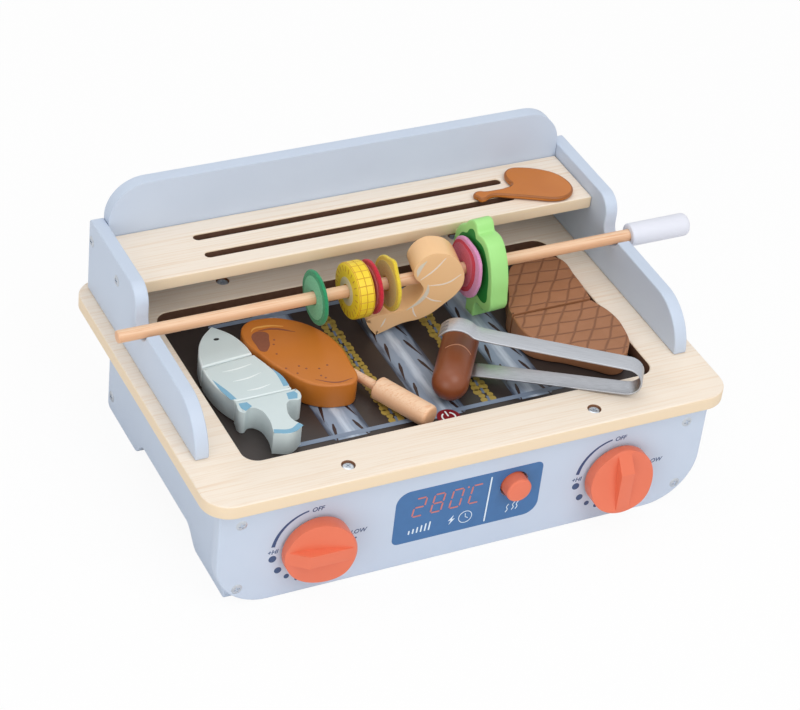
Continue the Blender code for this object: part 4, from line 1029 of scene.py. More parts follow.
@dataclass
class BaseBox:
    """The box under the cooking board, and the board itself."""

    width: float = 0.4
    front: float = -0.12
    corner: float = 0.02
    well_width: float = 0.3154
    well_front: float = -0.0802
    well_back: float = 0.0938
    well_corner: float = 0.011
    front_width: float = 0.3768
    front_corner: float = 0.04
    side_back: float = 0.1245
    rear_middle: float = 0.1164
    arch_height: float = 0.0133
    arch: tuple[float, float, float, float] = (-0.05, -0.0297, 0.0523, 0.0689)
    burner_thick: float = 0.004
    edge: float = 0.0014
    button_place: Point = (0.0353, 0.0522)
    button_hole: float = 0.0108
    screw_x: float = 0.0946
    cup_radius: float = 0.005

    def screw_places(self) -> list[Point]:
        """Where the board is screwed to the panels under it."""
        rows = (PANEL_FACE + PANEL_THICK / 2, self.rear_middle)
        return [(side * self.screw_x, row) for side in (-1, 1) for row in rows]

    def build(self) -> None:
        """Make the boards of the base."""
        self.build_top()
        self.build_front()
        for side in Side:
            self.build_side(side)
        self.build_hidden_boards()

    def build_top(self) -> None:
        """The broad ply board with the cooking well and its countersinks."""
        half = self.width / 2
        outer = round_box(-half, half, self.front, BOARD_BACK, (self.corner,) * 4)
        reach = self.well_width / 2
        well = round_box(-reach, reach, self.well_front, self.well_back, (self.well_corner,) * 4)
        holes = [circle(place, self.cup_radius, 32) for place in self.screw_places()]
        work = plate((outer, well, *holes), BOARD_THICK)
        self.round_board(work)
        # The well's walls take the darker brown: charred wood and painted shade.
        char_and_shade_walls(work, -reach - EDGE_REACH, reach + EDGE_REACH, self.well_front - EDGE_REACH,
                   self.well_back + EDGE_REACH)
        moved(work, shift(0, 0, BASE_HEIGHT + BOARD_THICK / 2))
        publish("cooking_board", work, (PLY, CHAR_AND_SHADE), "grill", ("top_board",))
        cups = []
        for place in self.screw_places():
            rim = self.cup_radius
            profile = ((rim, 0.0), (0.0043, -0.0014), (0.0043, -0.0036), (rim, -0.0036), (rim, 0.0))
            cups.append(moved(lathe(profile, 32), shift(*place, BOARD_TOP - 0.0001)))
        publish("board_countersinks", joined(*cups), COUNTERSINK_BROWN, "grill")

    def round_board(self, work: BMesh) -> None:
        """Round the board's rim and the well's, but not the countersinks.

        Args:
            work: The board.
        """
        rims = []
        for edge in work.edges:
            if len(edge.link_faces) != 2 or edge.calc_face_angle(0.0) < SMOOTH_ANGLE:
                continue
            middle = (edge.verts[0].co + edge.verts[1].co) / 2
            spots = (Vector((*place, middle.z)) for place in self.screw_places())
            if min((middle - spot).length for spot in spots) > self.cup_radius * 1.2:
                rims.append(edge)
        bmesh.ops.bevel(work, geom=rims, offset=self.edge, offset_type="OFFSET", segments=4,
                        profile=0.5, affect="EDGES", clamp_overlap=True, material=-1)
        flats = [face for face in work.faces if abs(face.normal.z) > FLAT_LIMIT]
        bmesh.ops.inset_region(work, faces=flats, thickness=0.0003, use_even_offset=True,
                               use_boundary=True)

    def build_front(self) -> None:
        """The control panel, with the button's hole."""
        half = self.front_width / 2
        corner = self.front_corner
        outline = round_box(-half, half, 0, BASE_HEIGHT - JOINT_GAP, (corner, 0.002, 0.002, corner))
        hole = circle(self.button_place, self.button_hole, 64)
        work = plate((outline, hole), PANEL_THICK, self.edge)
        spot = shift(0, PANEL_FACE + PANEL_THICK / 2, 0)
        publish("control_panel", moved(work, spot @ UPRIGHT_FRONT), PAINT, "grill", ("front_panel",))

    def build_side(self, side: Side) -> None:
        """A side of the base, arched so that it stands on two feet.

        Args:
            side: Which side.
        """
        start = PANEL_FACE + PANEL_THICK + JOINT_GAP
        top = BASE_HEIGHT - JOINT_GAP
        outline = arc((self.side_back - 0.005, 0.005), 0.005, -90, 0, 15)
        outline += [(self.side_back, top), (start, top), (start, 0.0)]
        outline += s_curve(self.arch[0], self.arch[1], 0, self.arch_height)
        outline += s_curve(self.arch[2], self.arch[3], self.arch_height, 0)
        work = plate((outline,), PANEL_THICK, self.edge)
        middle = side.value * (SIDE_OUTER - PANEL_THICK / 2)
        moved(work, shift(middle, 0, 0) @ UPRIGHT_SIDE)
        publish(f"{side.word}_side_board", work, PAINT, "grill", (f"{side.word}_side_panel",))

    def build_hidden_boards(self) -> None:
        """The rear board and the board under the well."""
        inner = SIDE_OUTER - PANEL_THICK - JOINT_GAP
        top = BASE_HEIGHT - JOINT_GAP
        rear = plate((round_box(-inner, inner, 0, top, (0.001,) * 4),), PANEL_THICK, 0.0007, 3)
        moved(rear, shift(0, self.rear_middle, 0) @ UPRIGHT_FRONT)
        publish("rear_board", rear, PAINT, "grill", ("rear_panel",))
        front = PANEL_FACE + PANEL_THICK + 2 * JOINT_GAP
        back = self.rear_middle - PANEL_THICK / 2 - JOINT_GAP
        floor = plate((round_box(-inner, inner, front, back, (0.001,) * 4),), self.burner_thick, 0.0004, 2)
        moved(floor, shift(0, 0, top - self.burner_thick / 2))
        publish("well_floor", floor, WELL_INK, "grill", ("burner_board",))


@dataclass
class Uprights:
    """The two brackets, the shelf between them and the splash-back."""

    inner: float = 0.1803
    thick: float = 0.01
    back: float = 0.139
    top_height: float = 0.0599
    top_corner: float = 0.014
    lip_height: float = 0.036
    front: float = -0.068
    front_round: float = 0.035
    notch_radius: float = 0.0105
    notch_bottom: float = 0.0278
    stick_y: float = 0.0365
    shelf_front: float = 0.0688
    shelf_height: float = 0.0393
    shelf_thick: float = 0.0102
    slot_length: float = 0.2463
    slot_width: float = 0.0069
    slot_rows: Point = (0.08655, 0.10865)
    splash_front: float = 0.1278
    splash_height: float = 0.09
    splash_corner: float = 0.0285
    edge: float = 0.0016

    def build(self) -> None:
        """Make the boards above the cooking board."""
        for side in Side:
            work = plate((self.bracket_outline(),), self.thick, self.edge)
            middle = side.value * (self.inner + self.thick / 2)
            moved(work, shift(middle, 0, 0) @ UPRIGHT_SIDE)
            publish(f"{side.word}_upright", work, PAINT, "grill", (f"{side.word}_bracket",))
        self.build_shelf()
        self.build_splash()

    def bracket_outline(self) -> list[Point]:
        """Side view of a bracket: high at the back, notched for the skewer, round at the front.

        Returns:
            The outline, along Y and up.
        """
        bottom = BOARD_TOP + JOINT_GAP
        top = BOARD_TOP + self.top_height
        lip = BOARD_TOP + self.lip_height
        notch = BOARD_TOP + self.notch_bottom + self.notch_radius
        drop = math.degrees(math.asin((notch - lip) / self.notch_radius))
        points = [(self.back, bottom)]
        points += arc((self.back - 0.003, top - 0.003), 0.003, 0, 90, 15)
        middle = (self.stick_y + self.notch_radius + self.top_corner, top - self.top_corner)
        points += arc(middle, self.top_corner, 90, 180)
        points += arc((self.stick_y, notch), self.notch_radius, 0, -180 + drop)
        points += arc((self.front + self.front_round, bottom), self.front_round, 90, 180, 4)
        return points

    def build_shelf(self) -> None:
        """The slotted ply shelf."""
        half = self.inner - JOINT_GAP
        back = self.splash_front - JOINT_GAP
        outer = [(half, self.shelf_front), (half, back), (-half, back), (-half, self.shelf_front)]
        reach = self.slot_length / 2
        round_end = self.slot_width / 2
        slots = [round_box(-reach, reach, row - round_end, row + round_end, (round_end * 0.999,) * 4)
                 for row in self.slot_rows]
        work = plate((outer, *slots), self.shelf_thick, 0.0011, 3)
        # The slots' walls take the darker brown: charred wood and painted shade.
        for row in self.slot_rows:
            span = round_end + EDGE_REACH
            char_and_shade_walls(work, -reach - EDGE_REACH, reach + EDGE_REACH, row - span, row + span)
        level = BOARD_TOP + self.shelf_height + self.shelf_thick / 2
        moved(work, shift(0, 0, level))
        publish("slotted_shelf", work, (PLY, CHAR_AND_SHADE), "grill", ("shelf",))

    def build_splash(self) -> None:
        """The tall board behind the shelf."""
        half = self.inner - JOINT_GAP
        bottom = BOARD_TOP + JOINT_GAP
        top = BOARD_TOP + self.splash_height
        corner = self.splash_corner
        outline = round_box(-half, half, bottom, top, (0.0005, corner, corner, 0.0005))
        work = plate((outline,), self.thick, self.edge)
        middle = self.splash_front + self.thick / 2
        moved(work, shift(0, middle, 0) @ UPRIGHT_FRONT)
        publish("splash_board", work, PAINT, "grill", ("splash_back",))


# Fasteners


@dataclass
class Fasteners:
    """Cross-head screws that show, and the plain ones inside."""

    head_radius: float = 0.0042
    head_thick: float = 0.0007
    shank_radius: float = 0.0018
    length: float = 0.026
    recess_span: float = 0.0046
    recess_width: float = 0.001
    recess_depth: float = 0.0009

    def screw(self) -> BMesh:
        """A screw whose head's rim lies at height zero, its crown above it.

        Returns:
            The screw, pointing down.
        """
        radius = self.head_radius
        crown = self.head_thick
        profile = [(0, crown), (radius * 0.55, crown * 0.92), (radius * 0.85, crown * 0.62)]
        profile += [(radius, 0.0), (radius, -0.0002), (self.shank_radius, -0.0026)]
        profile += [(self.shank_radius, -self.length + 0.004), (0, -self.length)]
        cutters = []
        for turn in (0, 90):
            bar = plate((round_box(-self.recess_span / 2, self.recess_span / 2, -self.recess_width / 2,
                                   self.recess_width / 2, (0.0004,) * 4),), 2 * self.recess_depth)
            spin = turn_about(turn + 20, "Z")
            cutters.append(moved(bar, shift(0, 0, crown) @ spin))
        return carve("screw_blank", lathe(profile, 32), cutters, 0.00008)

    def build(self, base: BaseBox, uprights: Uprights) -> None:
        """Set each screw as a piece of its own.

        Args:
            base: The base that they go into.
            uprights: The boards above it.
        """
        outer = SIDE_OUTER - PANEL_THICK / 2
        front = shift(0, PANEL_FACE + 0.0001, 0)
        levels = {"upper": BASE_HEIGHT - 0.0168, "lower": 0.0159}
        for side in Side:
            for row, level in levels.items():
                place = front @ shift(side.value * outer, 0, level) @ TOWARDS_FRONT
                self.set_one(f"{side.word}_{row}_panel_screw", place)
            for row, depth in (("front", PANEL_FACE + PANEL_THICK / 2), ("rear", base.rear_middle)):
                place = shift(side.value * base.screw_x, depth, BOARD_TOP - 0.0014)
                self.set_one(f"{side.word}_{row}_board_screw", place)
            outward = turn_about(90 * side.value, "Y")
            rows = (("rear_panel_screw", SIDE_OUTER, base.rear_middle, 0.0137),
                    ("shelf_screw", uprights.inner + uprights.thick, 0.0829,
                     BOARD_TOP + uprights.shelf_height + uprights.shelf_thick / 2),
                    ("splash_screw", uprights.inner + uprights.thick,
                     uprights.splash_front + uprights.thick / 2, 0.1445))
            for word, reach, depth, level in rows:
                place = shift(side.value * (reach + 0.0001), depth, level) @ outward
                self.set_one(f"{side.word}_{word}", place)
        self.dress_inside()

    def set_one(self, node: str, place: Matrix) -> None:
        """Set a screw in its place, for its CAD node."""
        publish(f"{node}_crosshead", moved(self.screw(), place), ZINC, "grill", (node,),
                CRISP_ANGLE)

    def dress_inside(self) -> None:
        """Give the plain steel and nylon pieces inside their finishes."""
        rows = {ZINC: ("_bolt", "_nut", "knob_screw", "button_spring"), NYLON: ("button_housing",)}
        for finish, endings in rows.items():
            for name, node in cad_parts.items():
                if name.endswith(endings):
                    node.data.materials.clear()
                    node.data.materials.append(finish.material())


# Controls


@dataclass
class Dial:
    """A coral knob with its printed scale."""

    side: Side
    pointer_deg: float
    away: float = 0.1172
    level: float = 0.0415
    radius: float = 0.0252
    height: float = 0.0165
    standoff: float = 0.002
    grip: float = 0.0104
    scoop_depth: float = 0.0085
    runout: float = 0.004
    tail_height: float = 0.0065
    ridge: float = 0.011
    rim: float = 0.003
    scale_radius: float = 0.0308
    letter_height: float = 0.0035

    def build(self) -> None:
        """Make the knob and its scale."""
        body = f"{self.side.word}_knob"
        profile = [(0, self.height)]
        profile += arc((self.radius - self.rim, self.height - self.rim), self.rim, 90, 0, 15)
        profile += [(self.radius, 0.0012), (self.radius - 0.0004, 0.0004), (self.radius - 0.0012, 0),
                    (0.009, 0), (0.009, -self.standoff + JOINT_GAP), (0, -self.standoff + JOINT_GAP)]
        knob = carve(body, lathe(profile, 96), [self.scoop(-1), self.scoop(1), self.slant()], 0.0011)
        turn = turn_about(self.pointer_deg, "Z")
        place = shift(self.side.value * self.away, PANEL_FACE - self.standoff, self.level)
        publish(f"{self.side.word}_dial_knob", moved(knob, place @ TOWARDS_FRONT @ turn), CORAL, body,
                (body,), CRISP_ANGLE)
        self.print_scale()

    def scoop(self, flank: int) -> BMesh:
        """Cutter of one finger scoop: deep at the tail, running out towards the pointer.

        Args:
            flank: Which flank, -1 or 1.

        Returns:
            The cutter.
        """
        tail = -self.radius - 0.002
        end = self.radius - self.runout
        radius = ((end - tail) ** 2 + self.scoop_depth ** 2) / (2 * self.scoop_depth)
        points = [(end, 0.002), (tail, 0.002)]
        count = 16
        for step in range(count + 1):
            along = tail + (end - tail) * step / count
            points.append((along, radius - math.sqrt(radius ** 2 - (along - tail) ** 2) - self.scoop_depth))
        work = plate((points,), self.radius)
        across = flank * (self.grip + self.radius) / 2
        return moved(work, shift(0, across, self.height) @ UPRIGHT_FRONT)

    def slant(self) -> BMesh:
        """Cutter of the slanted band that runs from the tail's rim up to the grip.

        Returns:
            The cutter.
        """
        tail = -self.radius - 0.002
        slope = (self.height - self.tail_height) / (self.radius - self.ridge)
        drop = slope * (tail + self.ridge)
        points = [(-self.ridge, 0.0), (-self.ridge, 0.002), (tail, 0.002), (tail, drop)]
        work = plate((points,), 2 * self.radius + 0.004)
        return moved(work, shift(0, 0, self.height) @ UPRIGHT_FRONT)

    def print_scale(self) -> None:
        """The printed arc that swells from OFF to HI, its dots and its words."""
        sweep = arc((0, 0), self.scale_radius, 101, 171, 2.5)
        widths = [0.0012 + 0.0016 * (step / (len(sweep) - 1)) ** 1.2 for step in range(len(sweep))]
        shapes = [stroke(sweep, widths, blunt=True)]
        for turn, size in ((191, 0.0029), (214, 0.0027), (233, 0.002), (250, 0.0017)):
            angle = math.radians(turn)
            spot = (self.scale_radius * math.cos(angle), self.scale_radius * math.sin(angle))
            shapes.append(ink_shape(circle(spot, size, 24)))
        if self.side is Side.LEFT:
            shapes.append(ink_shape(circle((0.0318, -0.0042), 0.0007, 16)))
        for text, spot in (("OFF", (0.0006, 0.03)), ("LOW", (0.033, 0.0012)), ("+HI", (-0.0306, 0.0002))):
            shapes.append(moved(lettering(text, self.letter_height), shift(*spot, 0)))
        place = shift(self.side.value * self.away, PANEL_FACE, self.level)
        publish(f"{self.side.word}_dial_scale", moved(joined(*shapes), place @ UPRIGHT_FRONT), LEGEND,
                "grill")


@dataclass
class Display:
    """The printed display with its digits, marks and the push button in it."""

    half_width: float = 0.057
    bottom: float = 0.0208
    top: float = 0.0675
    big_corner: float = 0.011
    small_corner: float = 0.005
    digit_width: float = 0.008
    digit_height: float = 0.0158
    digit_stroke: float = 0.0012
    digit_base: float = 0.0436
    lean: float = 0.16
    button: Point = BaseBox.button_place
    button_radius: float = 0.0096
    button_proud: float = 0.009
    place: Matrix = field(default_factory=lambda: shift(0, PANEL_FACE, 0) @ UPRIGHT_FRONT)

    def build(self) -> None:
        """Make the print and the button."""
        corners = (self.big_corner, self.small_corner, self.big_corner, self.small_corner)
        outline = round_box(-self.half_width, self.half_width, self.bottom, self.top, corners)
        ground = plate((outline, circle(self.button, 0.011, 64)), INK_THICK + INK_BITE)
        publish("display_ground", moved(ground, self.place), DISPLAY, "grill")
        digits = []
        for left, text in ((-0.0437, "2"), (-0.0295, "8"), (-0.015, "0"), (0.0, "C")):
            digits += self.segments(text, left)
        digits.append(ink_shape(circle((-0.0012, self.digit_base + self.digit_height - 0.0002), 0.0008, 16),
                                0, 2 * INK_THICK))
        publish("display_digits", moved(joined(*digits), self.place), DIGITS, "grill")
        publish("display_marks", moved(joined(*self.marks()), self.place), MARKS, "grill")
        self.build_button()

    def segments(self, text: str, left: float) -> list[BMesh]:
        """The lit segments of one digit, slanted and a little apart.

        Args:
            text: The digit.
            left: Where it starts.

        Returns:
            One stroke for each lit segment.
        """
        wide, high = self.digit_width, self.digit_height
        spots = {"a": ((0, high), (wide, high)), "b": ((wide, high), (wide, high / 2)),
                 "c": ((wide, high / 2), (wide, 0)), "d": ((0, 0), (wide, 0)),
                 "e": ((0, high / 2), (0, 0)), "f": ((0, high), (0, high / 2)),
                 "g": ((0, high / 2), (wide, high / 2))}
        lit = {"2": "abged", "8": "abcdefg", "0": "abcdef", "C": "afed"}[text]
        shapes = []
        for key in lit:
            start, end = (Vector(spot) for spot in spots[key])
            gap = (end - start).normalized() * 0.0013
            line = [start + gap, end - gap]
            slanted = [(left + spot.x + self.lean * spot.y, self.digit_base + spot.y) for spot in line]
            shapes.append(stroke(slanted, (self.digit_stroke,), lift=INK_THICK))
        return shapes

    def marks(self) -> list[BMesh]:
        """Bars, bolt, clock, separating line and steam in pale ink.

        Returns:
            The marks.
        """
        shapes = []
        for step in range(6):
            left = -0.0445 + 0.0031 * step
            high = 0.0024 + 0.00085 * step
            shapes.append(stroke([(left, 0.0285), (left + 0.1 * high, 0.0285 + high)], (0.0011,),
                                 lift=INK_THICK))
        bolt = [(-0.0102, 0.0362), (-0.0142, 0.0318), (-0.0119, 0.0321), (-0.0134, 0.0282),
                (-0.0091, 0.033), (-0.0114, 0.0327)]
        shapes.append(ink_shape(bolt, 0, 2 * INK_THICK))
        ring = circle((-0.0008, 0.0322), 0.0051, 40)
        shapes.append(stroke(ring + ring[:1], (0.0005,), True, INK_THICK))
        for hand in ([(-0.0008, 0.0322), (-0.001, 0.0352)], [(-0.0008, 0.0322), (0.0012, 0.0309)]):
            shapes.append(stroke(hand, (0.0005,), lift=INK_THICK))
        shapes.append(stroke([(0.015, 0.024), (0.0164, 0.063)], (0.0011,), lift=INK_THICK))
        for left, bottom in ((0.0315, 0.0275), (0.0362, 0.0285), (0.0392, 0.0285)):
            wave = [(left, bottom), (left + 0.0012, bottom + 0.0022), (left + 0.0004, bottom + 0.0042),
                    (left + 0.0017, bottom + 0.0066)]
            shapes.append(stroke(through(wave, closed=False, steps=6), (0.0006,), lift=INK_THICK))
        return shapes

    def build_button(self) -> None:
        """The coral push button, softly domed, with its flange behind the panel."""
        radius = self.button_radius
        length = self.button_proud + PANEL_THICK + JOINT_GAP
        profile = [(0, length), (radius * 0.5, length - 0.00006), (radius - 0.0018, length - 0.0002)]
        profile += arc((radius - 0.0018, length - 0.002), 0.0018, 80, 0, 16)
        profile += [(radius, 0), (0.0128, 0), (0.0128, -0.002), (0.0045, -0.002), (0.0045, -0.0045),
                    (0, -0.0045)]
        place = shift(self.button[0], PANEL_FACE + PANEL_THICK + JOINT_GAP, self.button[1])
        publish("push_button_cap", moved(lathe(profile, 64), place @ TOWARDS_FRONT), CORAL, "button",
                ("push_button",), CRISP_ANGLE)


@dataclass
class BurnerPrint:
    """The print on the well's floor: slotted steel tubes between rows of glowing embers."""

    tube_rows: tuple[float, float, float] = (-0.0725, 0.001, 0.07)
    bead_rows: tuple[float, float] = (-0.036, 0.036)
    front: float = -0.066
    back: float = 0.083
    tube_width: float = 0.03
    cross_width: float = 0.004
    cross_reach: float = 0.118
    bead_radius: float = 0.0033
    bead_spread: float = 0.0032
    bead_step: float = 0.0047
    slot_step: float = 0.024
    slot_length: float = 0.02
    slot_far: float = 0.0076
    slot_near: float = 0.0122
    slot_widths: tuple[float, float, float, float] = (0.0012, 0.0026, 0.0017, 0.0003)
    power_place: Point = (0.0003, -0.0675)
    power_radius: float = 0.0085
    level: float = BASE_HEIGHT - JOINT_GAP

    def build(self) -> None:
        """Lay the inks on the floor."""
        half = self.tube_width / 2
        for index, row in enumerate(self.tube_rows):
            outline = round_box(row - half, row + half, self.front, self.back, (half * 0.3,) * 4)
            finish = PrintedSheen(f"printed_burner_tube_{index}", middle_x=row, width=self.tube_width)
            self.lay(f"printed_tube_{index}", [ink_shape(outline)], finish)
        bars = [stroke([(-self.cross_reach, along), (self.cross_reach, along)], (self.cross_width,),
                       lift=1.5 * INK_THICK) for along in (self.front + 0.004, self.back - 0.003)]
        self.lay("printed_cross_tubes", bars, SLATE)
        self.lay_embers()
        self.lay_slots()
        self.lay_power()

    def lay_embers(self) -> None:
        """Two rows of glowing beads with steel dashes between them."""
        beads = []
        dashes = []
        for row in self.bead_rows:
            for step in range(int((self.back - self.front) / self.bead_step) - 2):
                along = self.front + 0.008 + step * self.bead_step
                sway = 0.0007 * math.sin(step * 2.1)
                for side in (-1, 1):
                    size = self.bead_radius * (0.85 + 0.15 * math.sin(step * 1.7 + side * 2.7))
                    spot = (row + side * self.bead_spread + sway, along)
                    beads.append(ink_shape(circle(spot, size, 14), 0, 1.6 * INK_THICK))
                if step % 2 == 0:
                    ends = [(row, along - 0.002), (row + 0.0006, along + 0.0026)]
                    dashes.append(stroke(ends, (0.0018,), lift=2 * INK_THICK))
        self.lay("printed_ember_beads", beads, EMBER)
        self.lay("printed_bead_dashes", dashes, STEEL_DASH)

    def lay_slots(self) -> None:
        """Long dark slots down both flanks of each tube, pointed towards the player."""
        slots = []
        for row in self.tube_rows:
            for step in range(6):
                far = self.back - 0.012 - step * self.slot_step
                for side in (-1, 1):
                    line = []
                    for share in (0, 0.25, 0.6, 1):
                        across = self.slot_far + (self.slot_near - self.slot_far) * share
                        line.append((row + side * across, far - self.slot_length * share))
                    slots.append(stroke(line, self.slot_widths, lift=INK_THICK))
        self.lay("printed_tube_slots", slots, SOOT)

    def lay_power(self) -> None:
        """The round plate with a power sign."""
        middle = self.power_place
        disc = ink_shape(circle(middle, self.power_radius, 40), 0, 3 * INK_THICK)
        self.lay("printed_power_plate", [disc], POWER)
        bar = [(middle[0], middle[1] + 0.0012), (middle[0], middle[1] + 0.006)]
        ring = arc(middle, 0.0048, 125, 415, 10)
        shapes = [stroke(line, (0.0012,), lift=3 * INK_THICK) for line in (ring, bar)]
        self.lay("printed_power_sign", shapes, GLEAM)

    def lay(self, name: str, shapes: Sequence[BMesh], finish: Finish) -> None:
        """Print shapes on the floor."""
        place = shift(0, 0, self.level)
        publish(name, moved(joined(*shapes), place), finish, "grill")


# Skewer


@dataclass
class Skewer:
    """The beech stick with its white handle, and the food threaded on it."""

    radius: float = 0.0046
    y: float = Uprights.stick_y
    z: float = BOARD_TOP + Uprights.notch_bottom + JOINT_GAP + radius
    start: float = -0.2076
    handle_start: float = 0.1955
    handle_end: float = 0.2457
    handle_radius: float = 0.0087
    thread: float = 0.0051

    def spot(self, x: float) -> Matrix:
        """A place on the stick."""
        return shift(x, self.y, self.z)

    def build(self) -> None:
        """Make the stick, the handle and each food."""
        span = self.handle_start + 0.025 - self.start
        tip = 0.0012
        profile = [(0, span), (self.radius, span), (self.radius, tip)]
        profile += arc((self.radius - tip, tip), tip, 0, -90, 15)[1:] + [(0, 0)]
        publish("skewer_dowel", moved(lathe(profile, 40), self.spot(self.start) @ ALONG_X), BEECH,
                "skewer", ("skewer_stick",))
        length = self.handle_end - self.handle_start
        radius = self.handle_radius
        grip = [(0, length)] + arc((radius - 0.004, length - 0.004), 0.004, 90, 0, 10)
        grip += [(radius, 0.0012)] + arc((radius - 0.0012, 0.0012), 0.0012, 0, -90, 15)[1:]
        grip += [(self.radius + JOINT_GAP, 0), (self.radius + JOINT_GAP, 0.0253), (0, 0.0253)]
        publish("skewer_grip", moved(lathe(grip, 48), self.spot(self.handle_start) @ ALONG_X), WHITE,
                "skewer", ("skewer_handle",))
        self.build_cucumber()
        self.build_corn()
        self.build_tomato()
        self.build_lemon()
        self.build_shrimp()
        self.build_ham()
        self.build_broccoli()

    def felt_disc(self, radius: float, thick: float, edge: float = 0.0014) -> BMesh:
        """A felt disc with a soft, slightly uneven rim and a thread hole.

        Args:
            radius: Its radius.
            thick: How thick it is.
            edge: Radius of its rim.

        Returns:
            The disc about Z.
        """
        half = thick / 2
        hole = self.thread
        profile = [(hole, half), (radius * 0.55, half), (radius - edge, half)]
        profile += arc((radius - edge, half - edge), edge, 80, 0, 20)
        profile += [(across, -level) for across, level in reversed(profile[2:])]
        profile += [(radius * 0.55, -half), (hole, -half), (hole, half)]
        return fuzzed(lathe(profile, 56))

    def build_cucumber(self) -> None:
        """The green felt slice with a paler middle."""
        x, thick, radius = -0.0588, FELT_THICK, 0.0202
        disc = moved(self.felt_disc(radius, thick), self.spot(x) @ ALONG_X)
        thing = publish("cucumber_felt", disc, GREEN_FELT, "cucumber", ("cucumber_slice",))
        self.face_rings("cucumber_middle", x, thick, (self.thread + 0.0004, radius - 0.0042), GREEN_PALE,
                       "cucumber")

    def face_rings(self, name: str, x: float, thick: float, radii: Point, finish: Finish,
                   body: str, proud: float = FELT_PROUD, bite: float = FELT_BITE) -> None:
        """A thin ring on both faces of a slice, of felt or printed.

        Args:
            name: The piece's name.
            x: Where the slice is on the stick.
            thick: How thick the slice is.
            radii: Inner and outer radius.
            finish: The ring's finish.
            body: The slice's body.
            proud: How far the ring stands up.
            bite: How far it reaches into the slice.
        """
        inner, outer = radii
        rounding = FELT_EDGE if proud > INK_THICK else 0.0
        rim = [(outer - rounding, proud), (outer, 0)] if rounding else [(outer, proud)]
        profile = [(inner, -bite), (inner, proud), *rim, (outer, -bite), (inner, -bite)]
        rings = on_both_faces(lathe(profile, 48), thick)
        publish(name, moved(rings, self.spot(x) @ ALONG_X), finish, body)

    def build_corn(self) -> None:
        """The corn slice, its side set with kernels in rows."""
        x, thick, radius = -0.0279, 0.0135, 0.0206
        half = thick / 2
        around = 22
        edge = 0.0016
        side_rows = [half - edge, 0.0, -half + edge]
        profile = [(self.thread, half), (radius * 0.62, half), (radius - edge, half)]
        profile += [(radius - 0.0003, half - edge * 0.35)] + [(radius, level) for level in side_rows]
        profile += [(radius - 0.0003, -half + edge * 0.35), (radius - edge, -half), (radius * 0.62, -half)]
        profile += [(self.thread, -half), (self.thread, half)]
        work = lathe(profile, around * 3)
        work = self.kernel_rows(work, around, radius)
        publish("corn_kernels", moved(work, self.spot(x) @ ALONG_X), (CORN, CORN_LINE), "corn",
                ("corn_slice",), CRISP_ANGLE)
        self.face_rings("corn_cob", x, thick, (self.thread + 0.0003, 0.0105), CORN_CORE, "corn", INK_THICK,
                        INK_BITE)
        spokes = []
        for step in range(around):
            angle = 2 * math.pi * step / around
            ends = [(reach * math.cos(angle), reach * math.sin(angle)) for reach in (0.015, 0.0186)]
            spokes.append(stroke(ends, (0.0006,)))
        marks = on_both_faces(joined(*spokes), thick)
        publish("corn_spokes", moved(marks, self.spot(x) @ ALONG_X), CORN_TICK, "corn")

    def kernel_rows(self, work: BMesh, around: int, radius: float) -> BMesh:
        """Sink narrow lines between the kernels on the slice's round side.

        Args:
            work: The slice about Z.
            around: Kernels round it.
            radius: Its radius.

        Returns:
            The same slice, its kernels raised.
        """
        middles = [face for face in work.faces
                   if Vector(face.calc_center_median()[:2]).length > radius - 0.0006]
        groups: dict[tuple[int, int], list] = {}
        for face in middles:
            spot = face.calc_center_median()
            turn = math.atan2(spot.y, spot.x) % (2 * math.pi)
            key = (int(turn / (2 * math.pi / around)), round(spot.z * 1e4))
            groups.setdefault(key, []).append(face)
        for group in groups.values():
            before = set(work.faces)
            bmesh.ops.inset_region(work, faces=group, thickness=0.00034, use_even_offset=True,
                                   use_boundary=True)
            for face in set(work.faces) - before:
                face.material_index = 1
            verts = {vert for face in group for vert in face.verts}
            for vert in verts:
                flat = Vector((vert.co.x, vert.co.y, 0))
                vert.co += flat.normalized() * 0.00022
        bmesh.ops.recalc_face_normals(work, faces=work.faces)
        return work

    def build_tomato(self) -> None:
        """The red felt slice with a paler ring."""
        x, thick, radius = -0.016, FELT_THICK, 0.02
        disc = moved(self.felt_disc(radius, thick, 0.0012), self.spot(x) @ ALONG_X)
        thing = publish("tomato_felt", disc, RED_FELT, "tomato", ("tomato_slice",))
        self.face_rings("tomato_ring", x, thick, (radius - 0.006, radius - 0.0036), RED_PALE, "tomato")

    def build_lemon(self) -> None:
        """The yellow felt slice with its nib, its faces a darker straw as painted shade."""
        x, thick, radius = -0.0022, FELT_THICK, 0.0205
        points = []
        for step in range(72):
            angle = 2 * math.pi * step / 72
            away = abs(math.remainder(angle - math.radians(105), 2 * math.pi))
            reach = radius + 0.0035 * math.exp(-(away / math.radians(14)) ** 2)
            points.append((reach * math.cos(angle), reach * math.sin(angle)))
        work = plate((points, circle((0, 0), self.thread, 32)), thick, 0.0011, 3)
        thing = publish("lemon_felt", moved(fuzzed(work), self.spot(x) @ UPRIGHT_SIDE), YELLOW_FELT, "lemon",
                        ("lemon_slice",))
        # The faces inside the rim are darker straw: painted shade.
        self.face_rings("lemon_shaded_faces", x, thick, (self.thread + 0.0004, radius - 0.0034), YELLOW_SHADE_FELT,
                        "lemon")

    def build_shrimp(self) -> None:
        """The wooden shrimp with its painted lines and pale painted highlights near its edges."""
        size = 0.07
        thick = 0.022
        outline = through(scaled(SHRIMP_SHARES, size, size), (0, 13, 15))
        turn = turn_about(-12, "Z") @ UPRIGHT_FRONT
        place = self.spot(0.035) @ turn
        work = plate((outline,), thick, 0.0022, 5)
        publish("shrimp_body", moved(work, place), SHRIMP, "shrimp", ("shrimp",))
        face = place @ shift(0, 0, thick / 2)
